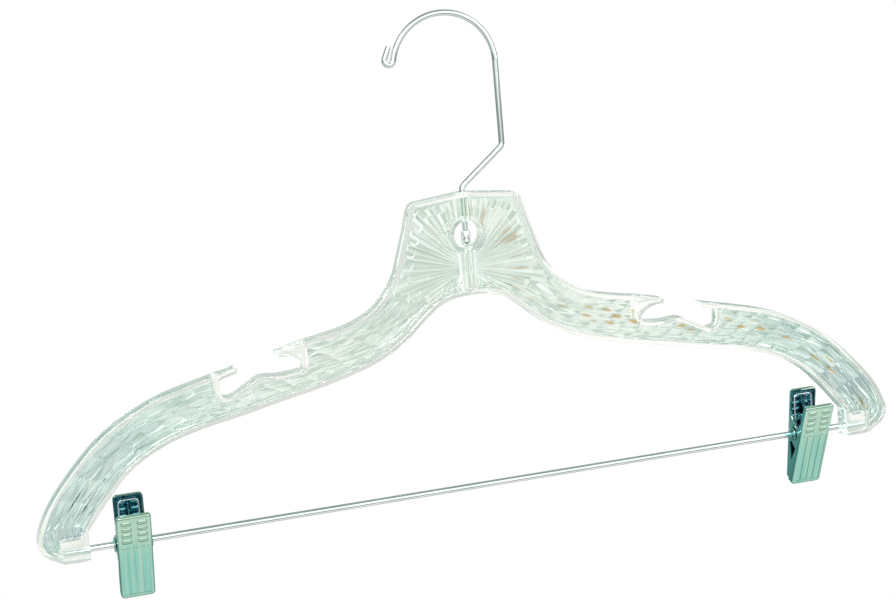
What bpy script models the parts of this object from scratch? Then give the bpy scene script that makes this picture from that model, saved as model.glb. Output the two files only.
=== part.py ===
"""Suit hanger: a clear moulded body with a faceted web, a swivelling wire hook, and a
trouser bar that carries two sprung clips. Metres, +Z up, +X along the bar, -Y to the front.
The origin is the seat of the rail, inside the crest of the hook."""

import math

import bmesh
import bpy
from mathutils import Matrix, Vector

MM = 0.001

# Fits
SEAT_GAP = 0.3 * MM
CUT_OVERRUN = 2.0 * MM

# Body: overall, neck and arms
OVERALL_LENGTH = 430.0 * MM
NECK_HEIGHT = 143.5 * MM
NECK_GABLE_FALL = 2.8 * MM
NECK_HALF_WIDTH = 27.0 * MM
NECK_CORNER_RADIUS = 5.0 * MM
RIM_WIDTH = 9.8 * MM
RIM_THICKNESS = 2.2 * MM
WEB_THICKNESS = 2.0 * MM
FACET_RISE = 1.0 * MM
ARM_FACET_COLUMNS = 15
ARM_FACET_ROWS = 8
SUNBURST_RAYS = 52
SUNBURST_HUB_RISE = 0.6 * MM

# Tongues over the strap notches
TONGUE_THICKNESS = 2.5 * MM
INNER_TONGUE_LENGTH = 12.7 * MM
OUTER_TONGUE_LENGTH = 9.6 * MM

# Feet and bar
FOOT_LENGTH = 23.0 * MM
FOOT_ABOVE_BAR = 6.3 * MM
FOOT_BELOW_BAR = 4.5 * MM
FOOT_NECK_ABOVE_BAR = 9.2 * MM
FOOT_END_WALL = 1.1 * MM
FOOT_FLANGE = 3.6 * MM
SOCKET_DEPTH = 11.9 * MM
BAR_RADIUS = 1.5 * MM

# Hook sleeve, ring window and blind core hole
SLEEVE_RADIUS = 4.1 * MM
BOSS_RADIUS = 4.3 * MM
RING_BELOW_TOP = 20.2 * MM
RING_RADIUS = 9.1 * MM
WINDOW_RADIUS = 6.9 * MM
RING_WIDTH = 8.4 * MM
CORE_HOLE_RADIUS = 1.4 * MM
CORE_HOLE_DEPTH = 12.0 * MM

# Hook wire
HOOK_WIRE_RADIUS = 1.4 * MM
HOOK_BEND_RADIUS = 24.9 * MM
HOOK_CREST_OFFSET = 3.4 * MM
HOOK_HEIGHT = 82.7 * MM
HOOK_ELBOW_RISE = 19.7 * MM
HOOK_RISE_FROM_NECK = 2.2 * MM
HOOK_HEAD_RADIUS = 2.3 * MM
HOOK_HEAD_LENGTH = 8.6 * MM
HOOK_HEAD_FLOAT = 0.6 * MM
HOOK_MOUTH_ANGLE = 11.0
HOOK_TIP_BEND_ANGLE = 193.0

# Clip jaws
CLIP_SWING = 18.0
JAW_HALF_WIDTH = 8.0 * MM
JAW_SHEET = 0.7 * MM
JAW_ABOVE_PIVOT = 20.5 * MM
JAW_BELOW_PIVOT = 28.5 * MM
JAW_TOP_OUT = 10.6 * MM
JAW_TIP_OUT = 4.2 * MM
JAW_EDGE_RADIUS = 1.1 * MM
HANDLE_WALL_DEPTH = 2.2 * MM
EAR_RADIUS = 4.4 * MM
PILL_ROWS = 4
PILL_LENGTH = 4.7 * MM
PILL_WIDTH = 1.7 * MM
PILL_PITCH = 3.5 * MM
PILL_FALL_FROM_TOP = 3.8 * MM
PILL_COLUMN_OFFSET = 3.7 * MM
RIB_COUNT = 4
RIB_WIDTH = 2.3 * MM
RIB_PITCH = 3.4 * MM
RIB_LENGTH = 29.0 * MM
RIB_END_FROM_TIP = 2.4 * MM
RAISED_HEIGHT = 0.5 * MM

# Pivot eyelet and spring
EYELET_WALL = 0.5 * MM
FLARE_RADIUS = 3.7 * MM
FLARE_LENGTH = 0.7 * MM
SPRING_WIRE_RADIUS = 0.45 * MM
SPRING_TURNS = 2
SPRING_TURN_GAP = 0.52 * MM
SPRING_SIDE_GAP = 1.2 * MM
SPRING_LOOP_HEIGHT = 17.5 * MM
SPRING_LEG_HEIGHT = 11.5 * MM
SPRING_LOOP_CORNER = 1.8 * MM

# Sides of round pieces, and points along curves
ROUND_SIDES = 20
TURNED_STEPS = 20
COIL_POINTS = 9

# Heights of the body as shares of the neck's height, lengths as shares of the half length
ARCH_SHARE = 0.6585
THROAT_SHARE = 0.6105
ARM_SHARE = 0.5756
SHOULDER_SHARE = 0.5101
NOTCH_DEPTH_SHARE = 0.0878
SUNBURST_SHARE = 0.434
THROAT_LENGTH_SHARE = 0.2814
NOTCH_START_SHARE = 0.3935
NOTCH_WIDTH_SHARE = 0.1893
# Return bend of the hook's tip, in wire radii
TIP_BEND_SHARE = 1.5
TIP_RETURN_SHARE = 4.3
# Outline of the neck side from its top corner to the throat, as shares of that span
NECK_SIDE_SHARES = ((0.09, 0.211), (0.185, 0.40), (0.29, 0.597), (0.415, 0.729), (0.565, 0.838), (0.745, 0.925))
# Arm top from the throat to the notch, as shares of that span and of its fall
ARM_TOP_SHARES = ((0.0, 0.0), (0.42, 0.5), (1.0, 1.0))
# Notch outline from its inner wall to its outer wall: across its width, below the arm top
NOTCH_SHARES = (
    (0.0, 0.88), (0.025, 1.0), (0.082, 1.056), (0.305, 1.105), (0.5, 1.063), (0.65, 1.286),
    (0.833, 1.595), (0.907, 1.667), (0.976, 1.54), (1.0, 1.3),
)
# Tip and underside of the tongues: share of the reach, thicknesses below the top
INNER_TONGUE_SHARES = (
    (1.0, 0.0), (1.01, 0.4), (0.97, 0.85), (0.9, 1.02), (0.55, 1.6), (0.24, 2.55), (0.07, 3.56),
)
OUTER_TONGUE_SHARES = (
    (1.0, 0.0), (1.02, 0.4), (0.96, 0.85), (0.85, 1.0), (0.3, 1.05), (0.1, 1.15), (0.02, 1.4),
)
# Shoulder from the notch round to the sole: share of the rest of the half length, shoulder height
SHOULDER_SHARES = (
    (0.136, 0.962), (0.256, 0.925), (0.364, 0.88), (0.496, 0.803), (0.64, 0.69), (0.743, 0.574),
    (0.837, 0.45), (0.899, 0.358), (0.95, 0.262), (0.983, 0.175), (1.0, 0.1), (0.988, 0.04),
    (0.952, -0.01),
)
# Underside of the arm from the foot up to the arch: half length, arch height
UNDERSIDE_SHARES = (
    (0.857, 0.2), (0.833, 0.262), (0.805, 0.33), (0.768, 0.395), (0.726, 0.447), (0.68, 0.487),
    (0.625, 0.519), (0.555, 0.548), (0.51, 0.568), (0.45, 0.597), (0.36, 0.637), (0.281, 0.682),
    (0.233, 0.72), (0.186, 0.772), (0.146, 0.834), (0.109, 0.908), (0.075, 0.966), (0.037, 0.994),
)
# Jaw side wall past the pivot, on the grip side: share of the reach below the pivot, share of depth
GRIP_WALL_SHARES = ((0.24, 0.12), (0.4, 0.45), (0.56, 0.8), (0.72, 1.0))

HALF_LENGTH = OVERALL_LENGTH / 2
BAR_DROP = NECK_HEIGHT + HOOK_HEIGHT
ARCH_HEIGHT = NECK_HEIGHT * ARCH_SHARE
THROAT_HEIGHT = NECK_HEIGHT * THROAT_SHARE
ARM_HEIGHT = NECK_HEIGHT * ARM_SHARE
SHOULDER_HEIGHT = NECK_HEIGHT * SHOULDER_SHARE
NOTCH_DEPTH = NECK_HEIGHT * NOTCH_DEPTH_SHARE
RING_HEIGHT = NECK_HEIGHT - RING_BELOW_TOP
SUNBURST_HEIGHT = ARCH_HEIGHT + (RING_HEIGHT - ARCH_HEIGHT) * SUNBURST_SHARE
THROAT_HALF_WIDTH = HALF_LENGTH * THROAT_LENGTH_SHARE
NOTCH_START = HALF_LENGTH * NOTCH_START_SHARE
NOTCH_WIDTH = HALF_LENGTH * NOTCH_WIDTH_SHARE
NOTCH_END = NOTCH_START + NOTCH_WIDTH
FOOT_INNER = HALF_LENGTH - FOOT_LENGTH
BAR_LENGTH = 2 * (FOOT_INNER + SOCKET_DEPTH - SEAT_GAP)
EYELET_BORE_RADIUS = BAR_RADIUS + SEAT_GAP
EYELET_RADIUS = EYELET_BORE_RADIUS + EYELET_WALL
EAR_HOLE_RADIUS = EYELET_RADIUS + SEAT_GAP
INNER_JAW_HALF_WIDTH = JAW_HALF_WIDTH - JAW_SHEET - SEAT_GAP
NECK_CORNER_HEIGHT = NECK_HEIGHT - NECK_GABLE_FALL
HANDLE_REACH = math.hypot(JAW_TOP_OUT, JAW_ABOVE_PIVOT)


def clear_scene():
    for obj in list(bpy.data.objects):
        bpy.data.objects.remove(obj, do_unlink=True)


def new_collection(name):
    collection = bpy.data.collections.new(name)
    bpy.context.scene.collection.children.link(collection)
    return collection


def make_material(name, color, roughness, metallic):
    material = bpy.data.materials.new(name)
    material.use_nodes = True
    shader = material.node_tree.nodes["Principled BSDF"]
    shader.inputs["Base Color"].default_value = (*color, 1)
    shader.inputs["Roughness"].default_value = roughness
    shader.inputs["Metallic"].default_value = metallic
    return material


clear_scene()
PARTS = new_collection("suit_hanger")
CUTTERS = new_collection("cutters")
CLEAR_PLASTIC = make_material("clear_plastic", (0.85, 0.93, 0.9), 0.08, 0.0)
CHROME = make_material("chrome_wire", (0.75, 0.82, 0.84), 0.15, 1.0)
PLATED_STEEL = make_material("plated_steel", (0.5, 0.72, 0.7), 0.3, 1.0)

# Front views are drawn in local XY and stood up; side views are drawn as (y, z) and swept along X
FRONT_VIEW = Matrix.Rotation(math.pi / 2, 4, "X")
SIDE_VIEW = Matrix.Rotation(math.pi / 2, 4, "Z") @ FRONT_VIEW
ALONG_X = Matrix.Rotation(math.pi / 2, 4, "Y")
ALONG_Y = Matrix.Rotation(math.pi / 2, 4, "X")


def smooth_points(points, per_span):
    """Points on a smooth curve through the given ones, ends included."""
    result = []
    ends = [points[0] * 2 - points[1], *points, points[-1] * 2 - points[-2]]
    for i in range(1, len(ends) - 2):
        p0, p1, p2, p3 = ends[i - 1:i + 3]
        for k in range(per_span):
            t = k / per_span
            curve = 2 * p1 + (p2 - p0) * t + (2 * p0 - 5 * p1 + 4 * p2 - p3) * t * t
            result.append((curve + (3 * p1 - p0 - 3 * p2 + p3) * t ** 3) / 2)
    return result + [points[-1]]


def round_corner(before, corner, after, radius, steps):
    """Points of an arc that rounds a corner between two straight runs."""
    into = (before - corner).normalized()
    out = (after - corner).normalized()
    half_angle = into.angle(out) / 2
    tangent = radius / math.tan(half_angle)
    centre = corner + (into + out).normalized() * radius / math.sin(half_angle)
    first = corner + into * tangent - centre
    last = corner + out * tangent - centre
    turn = math.pi - 2 * half_angle
    arc = []
    for k in range(steps + 1):
        t = k / steps
        arc.append(centre + (first * math.sin((1 - t) * turn) + last * math.sin(t * turn)) / math.sin(turn))
    return arc


def grow_path(points, distance, closed=True):
    """The path moved to its right by a distance; a clockwise loop shrinks."""
    result = []
    count = len(points)
    for i, point in enumerate(points):
        before = points[i - 1] if closed or i else point * 2 - points[1]
        after = points[(i + 1) % count] if closed or i < count - 1 else point * 2 - points[-2]
        one = (point - before).normalized()
        two = (after - point).normalized()
        normal = Vector((one.y, -one.x)) + Vector((two.y, -two.x))
        normal.normalize()
        spread = max(normal.dot(Vector((one.y, -one.x))), 0.5)
        result.append(point + normal * distance / spread)
    return result


def link(obj, collection, material=None):
    collection.objects.link(obj)
    if material:
        obj.data.materials.clear()
        obj.data.materials.append(material)
    return obj


def mesh_object(name, bm):
    mesh = bpy.data.meshes.new(name)
    bm.to_mesh(mesh)
    bm.free()
    return link(bpy.data.objects.new(name, mesh), CUTTERS)


def mesh_from_curve(obj):
    """A mesh object in place of a curve object, its caps welded."""
    depsgraph = bpy.context.evaluated_depsgraph_get()
    mesh = bpy.data.meshes.new_from_object(obj.evaluated_get(depsgraph))
    bm = bmesh.new()
    bm.from_mesh(mesh)
    bmesh.ops.remove_doubles(bm, verts=bm.verts, dist=SEAT_GAP / 100)
    bmesh.ops.transform(bm, matrix=obj.matrix_world, verts=bm.verts)
    bm.to_mesh(mesh)
    bm.free()
    name = obj.name
    bpy.data.objects.remove(obj, do_unlink=True)
    return link(bpy.data.objects.new(name, mesh), CUTTERS)


def flat_solid(name, loops, thickness, view):
    """A flat outline with a thickness, centred on its plane; a second loop is a hole."""
    data = bpy.data.curves.new(name, "CURVE")
    data.dimensions = "2D"
    data.fill_mode = "BOTH"
    data.extrude = thickness / 2
    for loop in loops:
        spline = data.splines.new("POLY")
        spline.points.add(len(loop) - 1)
        for point, place in zip(spline.points, loop):
            point.co = (place.x, place.y, 0, 1)
        spline.use_cyclic_u = True
    obj = link(bpy.data.objects.new(name, data), CUTTERS)
    obj.matrix_world = view
    bpy.context.view_layer.update()
    return mesh_from_curve(obj)


def wire_solid(name, points, radius, resolution):
    """A round wire along a path."""
    data = bpy.data.curves.new(name, "CURVE")
    data.dimensions = "3D"
    data.bevel_depth = radius
    data.bevel_resolution = resolution
    data.use_fill_caps = True
    spline = data.splines.new("POLY")
    spline.points.add(len(points) - 1)
    for point, place in zip(spline.points, points):
        point.co = (*place, 1)
    obj = link(bpy.data.objects.new(name, data), CUTTERS)
    bpy.context.view_layer.update()
    return mesh_from_curve(obj)


def cylinder(name, radius, low, high, turn=Matrix.Identity(4)):
    """A cylinder from low to high along local Z, then turned."""
    bm = bmesh.new()
    middle = Matrix.Translation((0, 0, (low + high) / 2))
    bmesh.ops.create_cone(
        bm, cap_ends=True, segments=ROUND_SIDES, radius1=radius, radius2=radius,
        depth=high - low, matrix=turn @ middle,
    )
    return mesh_object(name, bm)


def turned(name, profile, turn=Matrix.Identity(4)):
    """A closed profile of (radius, height), swept round local Z by a Screw modifier."""
    bm = bmesh.new()
    verts = [bm.verts.new((radius, 0, height)) for radius, height in profile]
    for i, vert in enumerate(verts):
        bm.edges.new((vert, verts[(i + 1) % len(verts)]))
    obj = mesh_object(name, bm)
    screw = obj.modifiers.new("turn", "SCREW")
    screw.steps = TURNED_STEPS
    screw.render_steps = TURNED_STEPS
    screw.use_merge_vertices = True
    screw.merge_threshold = SEAT_GAP / 10
    screw.use_normal_calculate = True
    obj.matrix_world = turn
    bpy.context.view_layer.update()
    bake(obj)
    return obj


def bake(obj):
    """Applies the modifiers and the place of an object to its mesh."""
    depsgraph = bpy.context.evaluated_depsgraph_get()
    mesh = bpy.data.meshes.new_from_object(obj.evaluated_get(depsgraph))
    bm = bmesh.new()
    bm.from_mesh(mesh)
    bmesh.ops.transform(bm, matrix=obj.matrix_world, verts=bm.verts)
    bmesh.ops.recalc_face_normals(bm, faces=bm.faces)
    bm.to_mesh(mesh)
    bm.free()
    obj.modifiers.clear()
    obj.data = mesh
    obj.matrix_world = Matrix.Identity(4)


def boolean(target, tool, operation):
    """Joins or cuts the target with a tool, and removes the tool."""
    modifier = target.modifiers.new(operation.lower(), "BOOLEAN")
    modifier.operation = operation
    modifier.solver = "EXACT"
    modifier.object = tool
    bpy.context.view_layer.update()
    depsgraph = bpy.context.evaluated_depsgraph_get()
    mesh = bpy.data.meshes.new_from_object(target.evaluated_get(depsgraph))
    target.modifiers.clear()
    target.data = mesh
    bpy.data.objects.remove(tool, do_unlink=True)


def tidy_mesh(obj):
    """Welds the slivers that joins leave."""
    bm = bmesh.new()
    bm.from_mesh(obj.data)
    bmesh.ops.remove_doubles(bm, verts=bm.verts, dist=SEAT_GAP / 30)
    bmesh.ops.dissolve_degenerate(bm, edges=bm.edges, dist=SEAT_GAP / 30)
    bmesh.ops.triangulate(bm, faces=bm.faces)
    bm.to_mesh(obj.data)
    bm.free()


def finish_part(obj, name, material, parent):
    """Names a piece, gives it its finish and hangs it under its empty."""
    CUTTERS.objects.unlink(obj)
    link(obj, PARTS, material)
    obj.name = name
    obj.data.name = name
    obj.parent = parent
    obj.data.shade_smooth()
    obj.data.set_sharp_from_angle(angle=math.radians(30))
    return obj


def make_empty(name, place, parent=None, turn_x=0.0):
    empty = bpy.data.objects.new(name, None)
    PARTS.objects.link(empty)
    empty.parent = parent
    empty.location = place
    empty.rotation_euler = (turn_x, 0, 0)
    bpy.context.view_layer.update()
    return empty


def mirrored(points):
    """The same points on the other side of the middle, in reverse order."""
    return [Vector((-point.x, point.y)) for point in reversed(points)]


def neck_to_notch():
    """The right half of the top edge, from beside the peak to the inner wall of the notch."""
    peak = Vector((0, NECK_HEIGHT))
    corner = Vector((NECK_HALF_WIDTH, NECK_CORNER_HEIGHT))
    throat = Vector((THROAT_HALF_WIDTH, THROAT_HEIGHT))
    span = throat - corner
    side = [corner + Vector((span.x * x, span.y * y)) for x, y in NECK_SIDE_SHARES]
    rounded = round_corner(peak, corner, side[0], NECK_CORNER_RADIUS, 5)
    notch = Vector((NOTCH_START, ARM_HEIGHT))
    reach = notch - throat
    arm = [throat + Vector((reach.x * x, reach.y * y)) for x, y in ARM_TOP_SHARES]
    return rounded[:-1] + smooth_points([rounded[-1], *side, *arm], 2)


def notch_points():
    """The notch between its two top corners, both left out."""
    fall = ARM_HEIGHT - SHOULDER_HEIGHT
    points = []
    for across, below in NOTCH_SHARES:
        points.append(Vector((NOTCH_START + NOTCH_WIDTH * across, ARM_HEIGHT - NOTCH_DEPTH * below)))
    return [Vector((NOTCH_START, ARM_HEIGHT - fall / 2))] + smooth_points(points, 2)


def shoulder_points():
    """From the outer wall of the notch round the shoulder to the end of the sole."""
    start = Vector((NOTCH_END, SHOULDER_HEIGHT))
    rest = HALF_LENGTH - NOTCH_END
    points = [Vector((NOTCH_END + rest * x, SHOULDER_HEIGHT * z)) for x, z in SHOULDER_SHARES]
    sole_end = Vector((FOOT_INNER + SOCKET_DEPTH, -FOOT_BELOW_BAR))
    return smooth_points([start, *points, sole_end], 2)


def underside_points():
    """From the foot up the underside of the arm to beside the arch."""
    points = [Vector((HALF_LENGTH * x, ARCH_HEIGHT * z)) for x, z in UNDERSIDE_SHARES]
    return smooth_points([Vector((FOOT_INNER, FOOT_NECK_ABOVE_BAR)), *points], 2)


def tongue_points(root, reach, slope, shares):
    """The tip and underside of a tongue that overhangs a notch, from its tip to its root."""
    way = Vector((math.cos(slope), math.sin(slope))) * reach
    return [root + way * along - Vector((0, TONGUE_THICKNESS * below)) for along, below in shares]


def outer_outline():
    """The outline with its tongues, clockwise from the peak."""
    slope = -math.atan2(ARM_HEIGHT - SHOULDER_HEIGHT, NOTCH_WIDTH)
    inner_root = Vector((NOTCH_START, ARM_HEIGHT))
    outer_root = Vector((NOTCH_END, SHOULDER_HEIGHT))
    inner = tongue_points(inner_root, INNER_TONGUE_LENGTH, slope, INNER_TONGUE_SHARES)
    outer = tongue_points(outer_root, -OUTER_TONGUE_LENGTH, slope, OUTER_TONGUE_SHARES)
    right = neck_to_notch() + inner + notch_points()[1:] + outer[::-1] + shoulder_points()
    right += [Vector((FOOT_INNER, -FOOT_BELOW_BAR))] + underside_points()
    return [Vector((0, NECK_HEIGHT))] + right + [Vector((0, ARCH_HEIGHT))] + mirrored(right)


def rim_opening():
    """The opening inside the rim, which leaves a solid foot block round each socket."""
    top = [Vector((0, NECK_HEIGHT))] + neck_to_notch() + notch_points() + shoulder_points()
    top = grow_path(top, RIM_THICKNESS, False)
    under = grow_path(underside_points() + [Vector((0, ARCH_HEIGHT))], RIM_THICKNESS, False)
    block_end = FOOT_INNER + SOCKET_DEPTH + FOOT_END_WALL
    right = [point for point in top[1:] if point.x > block_end or point.y > FOOT_ABOVE_BAR]
    right += [
        Vector((block_end, RIM_THICKNESS - FOOT_BELOW_BAR)), Vector((block_end, FOOT_ABOVE_BAR)),
        Vector((FOOT_INNER + FOOT_FLANGE, FOOT_ABOVE_BAR)),
    ]
    right += [point for point in under[:-1] if point.x < FOOT_INNER and point.y > FOOT_ABOVE_BAR]
    return [Vector((0, top[0].y))] + right + [Vector((0, under[-1].y))] + mirrored(right)


def height_at(points, x):
    """The height of an open outline at x."""
    for one, two in zip(points, points[1:]):
        if min(one.x, two.x) <= x <= max(one.x, two.x) and one.x != two.x:
            return one.y + (two.y - one.y) * (x - one.x) / (two.x - one.x)
    return min((abs(point.x - x), point.y) for point in points)[1]


def faceted_plate(name, rows, rises):
    """A closed plate over a grid of (x, z) places, its two faces raised at each place."""
    bm = bmesh.new()
    faces = []
    for side in (-1, 1):
        grid = []
        for places, lifts in zip(rows, rises):
            grid.append([
                bm.verts.new((place.x, side * (WEB_THICKNESS / 2 + lift), place.y))
                for place, lift in zip(places, lifts)
            ])
        faces.append(grid)
        for i in range(len(grid) - 1):
            for j in range(len(grid[i]) - 1):
                corners = [grid[i][j], grid[i + 1][j], grid[i + 1][j + 1], grid[i][j + 1]]
                if (i + j) % 2:
                    corners = corners[1:] + corners[:1]
                bm.faces.new((corners[0], corners[1], corners[2]))
                bm.faces.new((corners[0], corners[2], corners[3]))
    front, back = faces
    last = len(front) - 1
    end = len(front[0]) - 1
    edge = [(i, 0) for i in range(last)] + [(last, j) for j in range(end)]
    edge += [(i, end) for i in range(last, 0, -1)] + [(0, j) for j in range(end, 0, -1)]
    for (i, j), (k, m) in zip(edge, edge[1:] + edge[:1]):
        bm.faces.new((front[i][j], front[k][m], back[k][m], back[i][j]))
    bmesh.ops.recalc_face_normals(bm, faces=bm.faces)
    return mesh_object(name, bm)


def seam_points(loop):
    """Where the sunburst ends and the arm facets begin: on the underside and on the top edge."""
    low_x = NECK_HALF_WIDTH * 0.75
    high_x = NECK_HALF_WIDTH * 1.7
    return Vector((low_x, height_at(loop["under"], low_x))), Vector((high_x, height_at(loop["top"], high_x)))


def middle_lines():
    """The lines midway through the rim, along the top and the underside of the right arm."""
    inset = RIM_THICKNESS / 2
    top = neck_to_notch() + shoulder_points()
    under = underside_points() + [Vector((0, ARCH_HEIGHT))]
    return {"top": grow_path(top, inset, False), "under": grow_path(under, inset, False)}


def arm_facets(side, loop):
    """Rows of long diamond facets along one arm, starting a little inside the sunburst."""
    low_seam, high_seam = (point - Vector((RIM_THICKNESS, 0)) for point in seam_points(loop))
    low_end = Vector((FOOT_INNER + RIM_THICKNESS, height_at(loop["under"], FOOT_INNER)))
    high_end = Vector((HALF_LENGTH - RIM_THICKNESS, height_at(loop["top"], HALF_LENGTH - RIM_THICKNESS)))
    rows = []
    rises = []
    for i in range(ARM_FACET_COLUMNS + 1):
        t = i / ARM_FACET_COLUMNS
        low_x = low_seam.x + (low_end.x - low_seam.x) * t
        high_x = high_seam.x + (high_end.x - high_seam.x) * t
        low = Vector((low_x, height_at(loop["under"], low_x)))
        high = Vector((high_x, height_at(loop["top"], high_x)))
        places = []
        lifts = []
        for j in range(ARM_FACET_ROWS + 1):
            place = low + (high - low) * (j / ARM_FACET_ROWS)
            places.append(Vector((place.x * side, place.y)))
            lifts.append(FACET_RISE if (i + j) % 2 else 0)
        rows.append(places)
        rises.append(lifts)
    return faceted_plate("arm_facets", rows, rises)


def foot_web(side, loop):
    """The plain web between the end of the facets, the foot block and the end of the rim."""
    inner = FOOT_INNER + RIM_THICKNESS / 2
    sole = -FOOT_BELOW_BAR + RIM_THICKNESS / 2
    points = [Vector((inner, sole)), Vector((inner, FOOT_NECK_ABOVE_BAR + RIM_THICKNESS))]
    points += [point for point in loop["top"] if point.y < SHOULDER_HEIGHT * 0.26]
    points = [Vector((point.x * side, point.y)) for point in points]
    return flat_solid("foot_web", [points], WEB_THICKNESS + FACET_RISE, FRONT_VIEW)


def sunburst(loop):
    """Radial facets round the hook sleeve, out to the rim of the neck and the arm facets."""
    low_seam, high_seam = seam_points(loop)
    top = [point for point in loop["top"] if point.x < high_seam.x]
    under = [point for point in loop["under"] if point.x < low_seam.x]
    inset = Vector((0, RIM_THICKNESS / 2))
    right = top + [high_seam, low_seam] + under[:-1]
    border = [Vector((0, NECK_HEIGHT)) - inset] + right + [under[-1]] + mirrored(right)
    hub = Vector((0, SUNBURST_HEIGHT))
    bm = bmesh.new()
    rings = {}
    for side in (-1, 1):
        hub_vert = bm.verts.new((hub.x, side * (WEB_THICKNESS / 2 + SUNBURST_HUB_RISE), hub.y))
        ring = []
        for k in range(SUNBURST_RAYS):
            place = ray_end(border, hub, 2 * math.pi * k / SUNBURST_RAYS)
            lift = FACET_RISE if k % 2 else 0
            ring.append(bm.verts.new((place.x, side * (WEB_THICKNESS / 2 + lift), place.y)))
        for k in range(SUNBURST_RAYS):
            bm.faces.new((hub_vert, ring[k], ring[(k + 1) % SUNBURST_RAYS]))
        rings[side] = ring
    for k in range(SUNBURST_RAYS):
        after = (k + 1) % SUNBURST_RAYS
        bm.faces.new((rings[-1][k], rings[-1][after], rings[1][after], rings[1][k]))
    bmesh.ops.recalc_face_normals(bm, faces=bm.faces)
    return mesh_object("sunburst", bm)


def ray_end(border, start, angle):
    """Where a ray from the start first meets a closed border."""
    way = Vector((math.cos(angle), math.sin(angle)))
    best = None
    for one, two in zip(border, border[1:] + border[:1]):
        edge = two - one
        cross = way.x * edge.y - way.y * edge.x
        if abs(cross) < 1e-12:
            continue
        gap = one - start
        reach = (gap.x * edge.y - gap.y * edge.x) / cross
        share = (gap.x * way.y - gap.y * way.x) / cross
        if reach > 0 and -1e-6 <= share <= 1 + 1e-6 and (best is None or reach < best):
            best = reach
    return start + way * best


def make_body(parent):
    """The clear moulding: rim, faceted web, tongues, feet, sleeve, ring and bores."""
    body = flat_solid("rim", [outer_outline(), rim_opening()], RIM_WIDTH, FRONT_VIEW)
    loop = middle_lines()
    notch = [Vector((NOTCH_START, ARM_HEIGHT))] + notch_points()
    notch += [Vector((NOTCH_END, SHOULDER_HEIGHT))]
    opening = grow_path(notch, RIM_THICKNESS / 2, False)
    opening += [opening[-1] + Vector((0, NOTCH_DEPTH)), opening[0] + Vector((0, NOTCH_DEPTH))]
    web = sunburst(loop)
    for side in (-1, 1):
        arm = arm_facets(side, loop)
        cut = [Vector((point.x * side, point.y)) for point in opening]
        boolean(arm, flat_solid("notch_cut", [cut], RIM_WIDTH, FRONT_VIEW), "DIFFERENCE")
        boolean(web, arm, "UNION")
        boolean(web, foot_web(side, loop), "UNION")
    boolean(body, web, "UNION")
    ring_top = RING_HEIGHT + WINDOW_RADIUS
    ring_low = RING_HEIGHT - WINDOW_RADIUS
    inset = RIM_THICKNESS / 2
    boolean(body, cylinder("sleeve", SLEEVE_RADIUS, ring_top, NECK_HEIGHT - inset), "UNION")
    boolean(body, cylinder("boss", BOSS_RADIUS, ARCH_HEIGHT + inset, ring_low), "UNION")
    raise_ring = Matrix.Translation((0, 0, RING_HEIGHT))
    boolean(body, cylinder("ring", RING_RADIUS, -RING_WIDTH / 2, RING_WIDTH / 2, raise_ring @ ALONG_Y), "UNION")
    boolean(body, cylinder("window", WINDOW_RADIUS, -RIM_WIDTH, RIM_WIDTH, raise_ring @ ALONG_Y), "DIFFERENCE")
    shank = cylinder("shank_bore", HOOK_WIRE_RADIUS + SEAT_GAP, RING_HEIGHT, NECK_HEIGHT + CUT_OVERRUN)
    boolean(body, shank, "DIFFERENCE")
    boolean(body, cylinder("core_hole", CORE_HOLE_RADIUS, ring_low - CORE_HOLE_DEPTH, RING_HEIGHT), "DIFFERENCE")
    for side in (-1, 1):
        ends = sorted((side * (FOOT_INNER - CUT_OVERRUN), side * (FOOT_INNER + SOCKET_DEPTH)))
        boolean(body, cylinder("socket", BAR_RADIUS + SEAT_GAP, *ends, ALONG_X), "DIFFERENCE")
    tidy_mesh(body)
    return finish_part(body, "hanger_body", CLEAR_PLASTIC, parent)


def make_bar(parent):
    bar = cylinder("bar", BAR_RADIUS, -BAR_LENGTH / 2, BAR_LENGTH / 2, ALONG_X)
    return finish_part(bar, "trouser_bar", CHROME, parent)


def hook_path():
    """The hook's centre line, from inside the sleeve up and over to the return-bent tip."""
    inner_radius = HOOK_BEND_RADIUS - HOOK_WIRE_RADIUS
    centre = Vector((-HOOK_CREST_OFFSET, BAR_DROP - math.sqrt(inner_radius ** 2 - HOOK_CREST_OFFSET ** 2)))
    head_top = RING_HEIGHT - WINDOW_RADIUS + HOOK_HEAD_FLOAT + HOOK_HEAD_LENGTH
    neck_exit = Vector((0, NECK_HEIGHT + HOOK_RISE_FROM_NECK))
    elbow = Vector((centre.x + HOOK_BEND_RADIUS, NECK_HEIGHT + HOOK_ELBOW_RISE))
    end_angle = math.pi - math.radians(HOOK_MOUTH_ANGLE)
    path = [Vector((0, head_top - HOOK_HEAD_LENGTH / 2)), Vector((0, (head_top + NECK_HEIGHT) / 2))]
    path += round_corner(path[0], neck_exit, elbow, HOOK_WIRE_RADIUS * 3, 4)
    start = centre + Vector((HOOK_BEND_RADIUS, 0))
    path += round_corner(neck_exit, elbow, start, HOOK_WIRE_RADIUS * 2.5, 4)
    for k in range(25):
        angle = end_angle * k / 24
        path.append(centre + HOOK_BEND_RADIUS * Vector((math.cos(angle), math.sin(angle))))
    way = Vector((-math.sin(end_angle), math.cos(end_angle)))
    out = Vector((way.y, -way.x))
    tip_radius = HOOK_WIRE_RADIUS * TIP_BEND_SHARE
    tip_centre = path[-1] + out * tip_radius
    for k in range(1, 9):
        turn = math.radians(HOOK_TIP_BEND_ANGLE) * k / 8
        path.append(tip_centre + tip_radius * (way * math.sin(turn) - out * math.cos(turn)))
    back = way * math.cos(turn) + out * math.sin(turn)
    path.append(path[-1] + back * HOOK_WIRE_RADIUS * TIP_RETURN_SHARE)
    return [Vector((point.x, 0, point.y)) for point in path]


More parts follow.
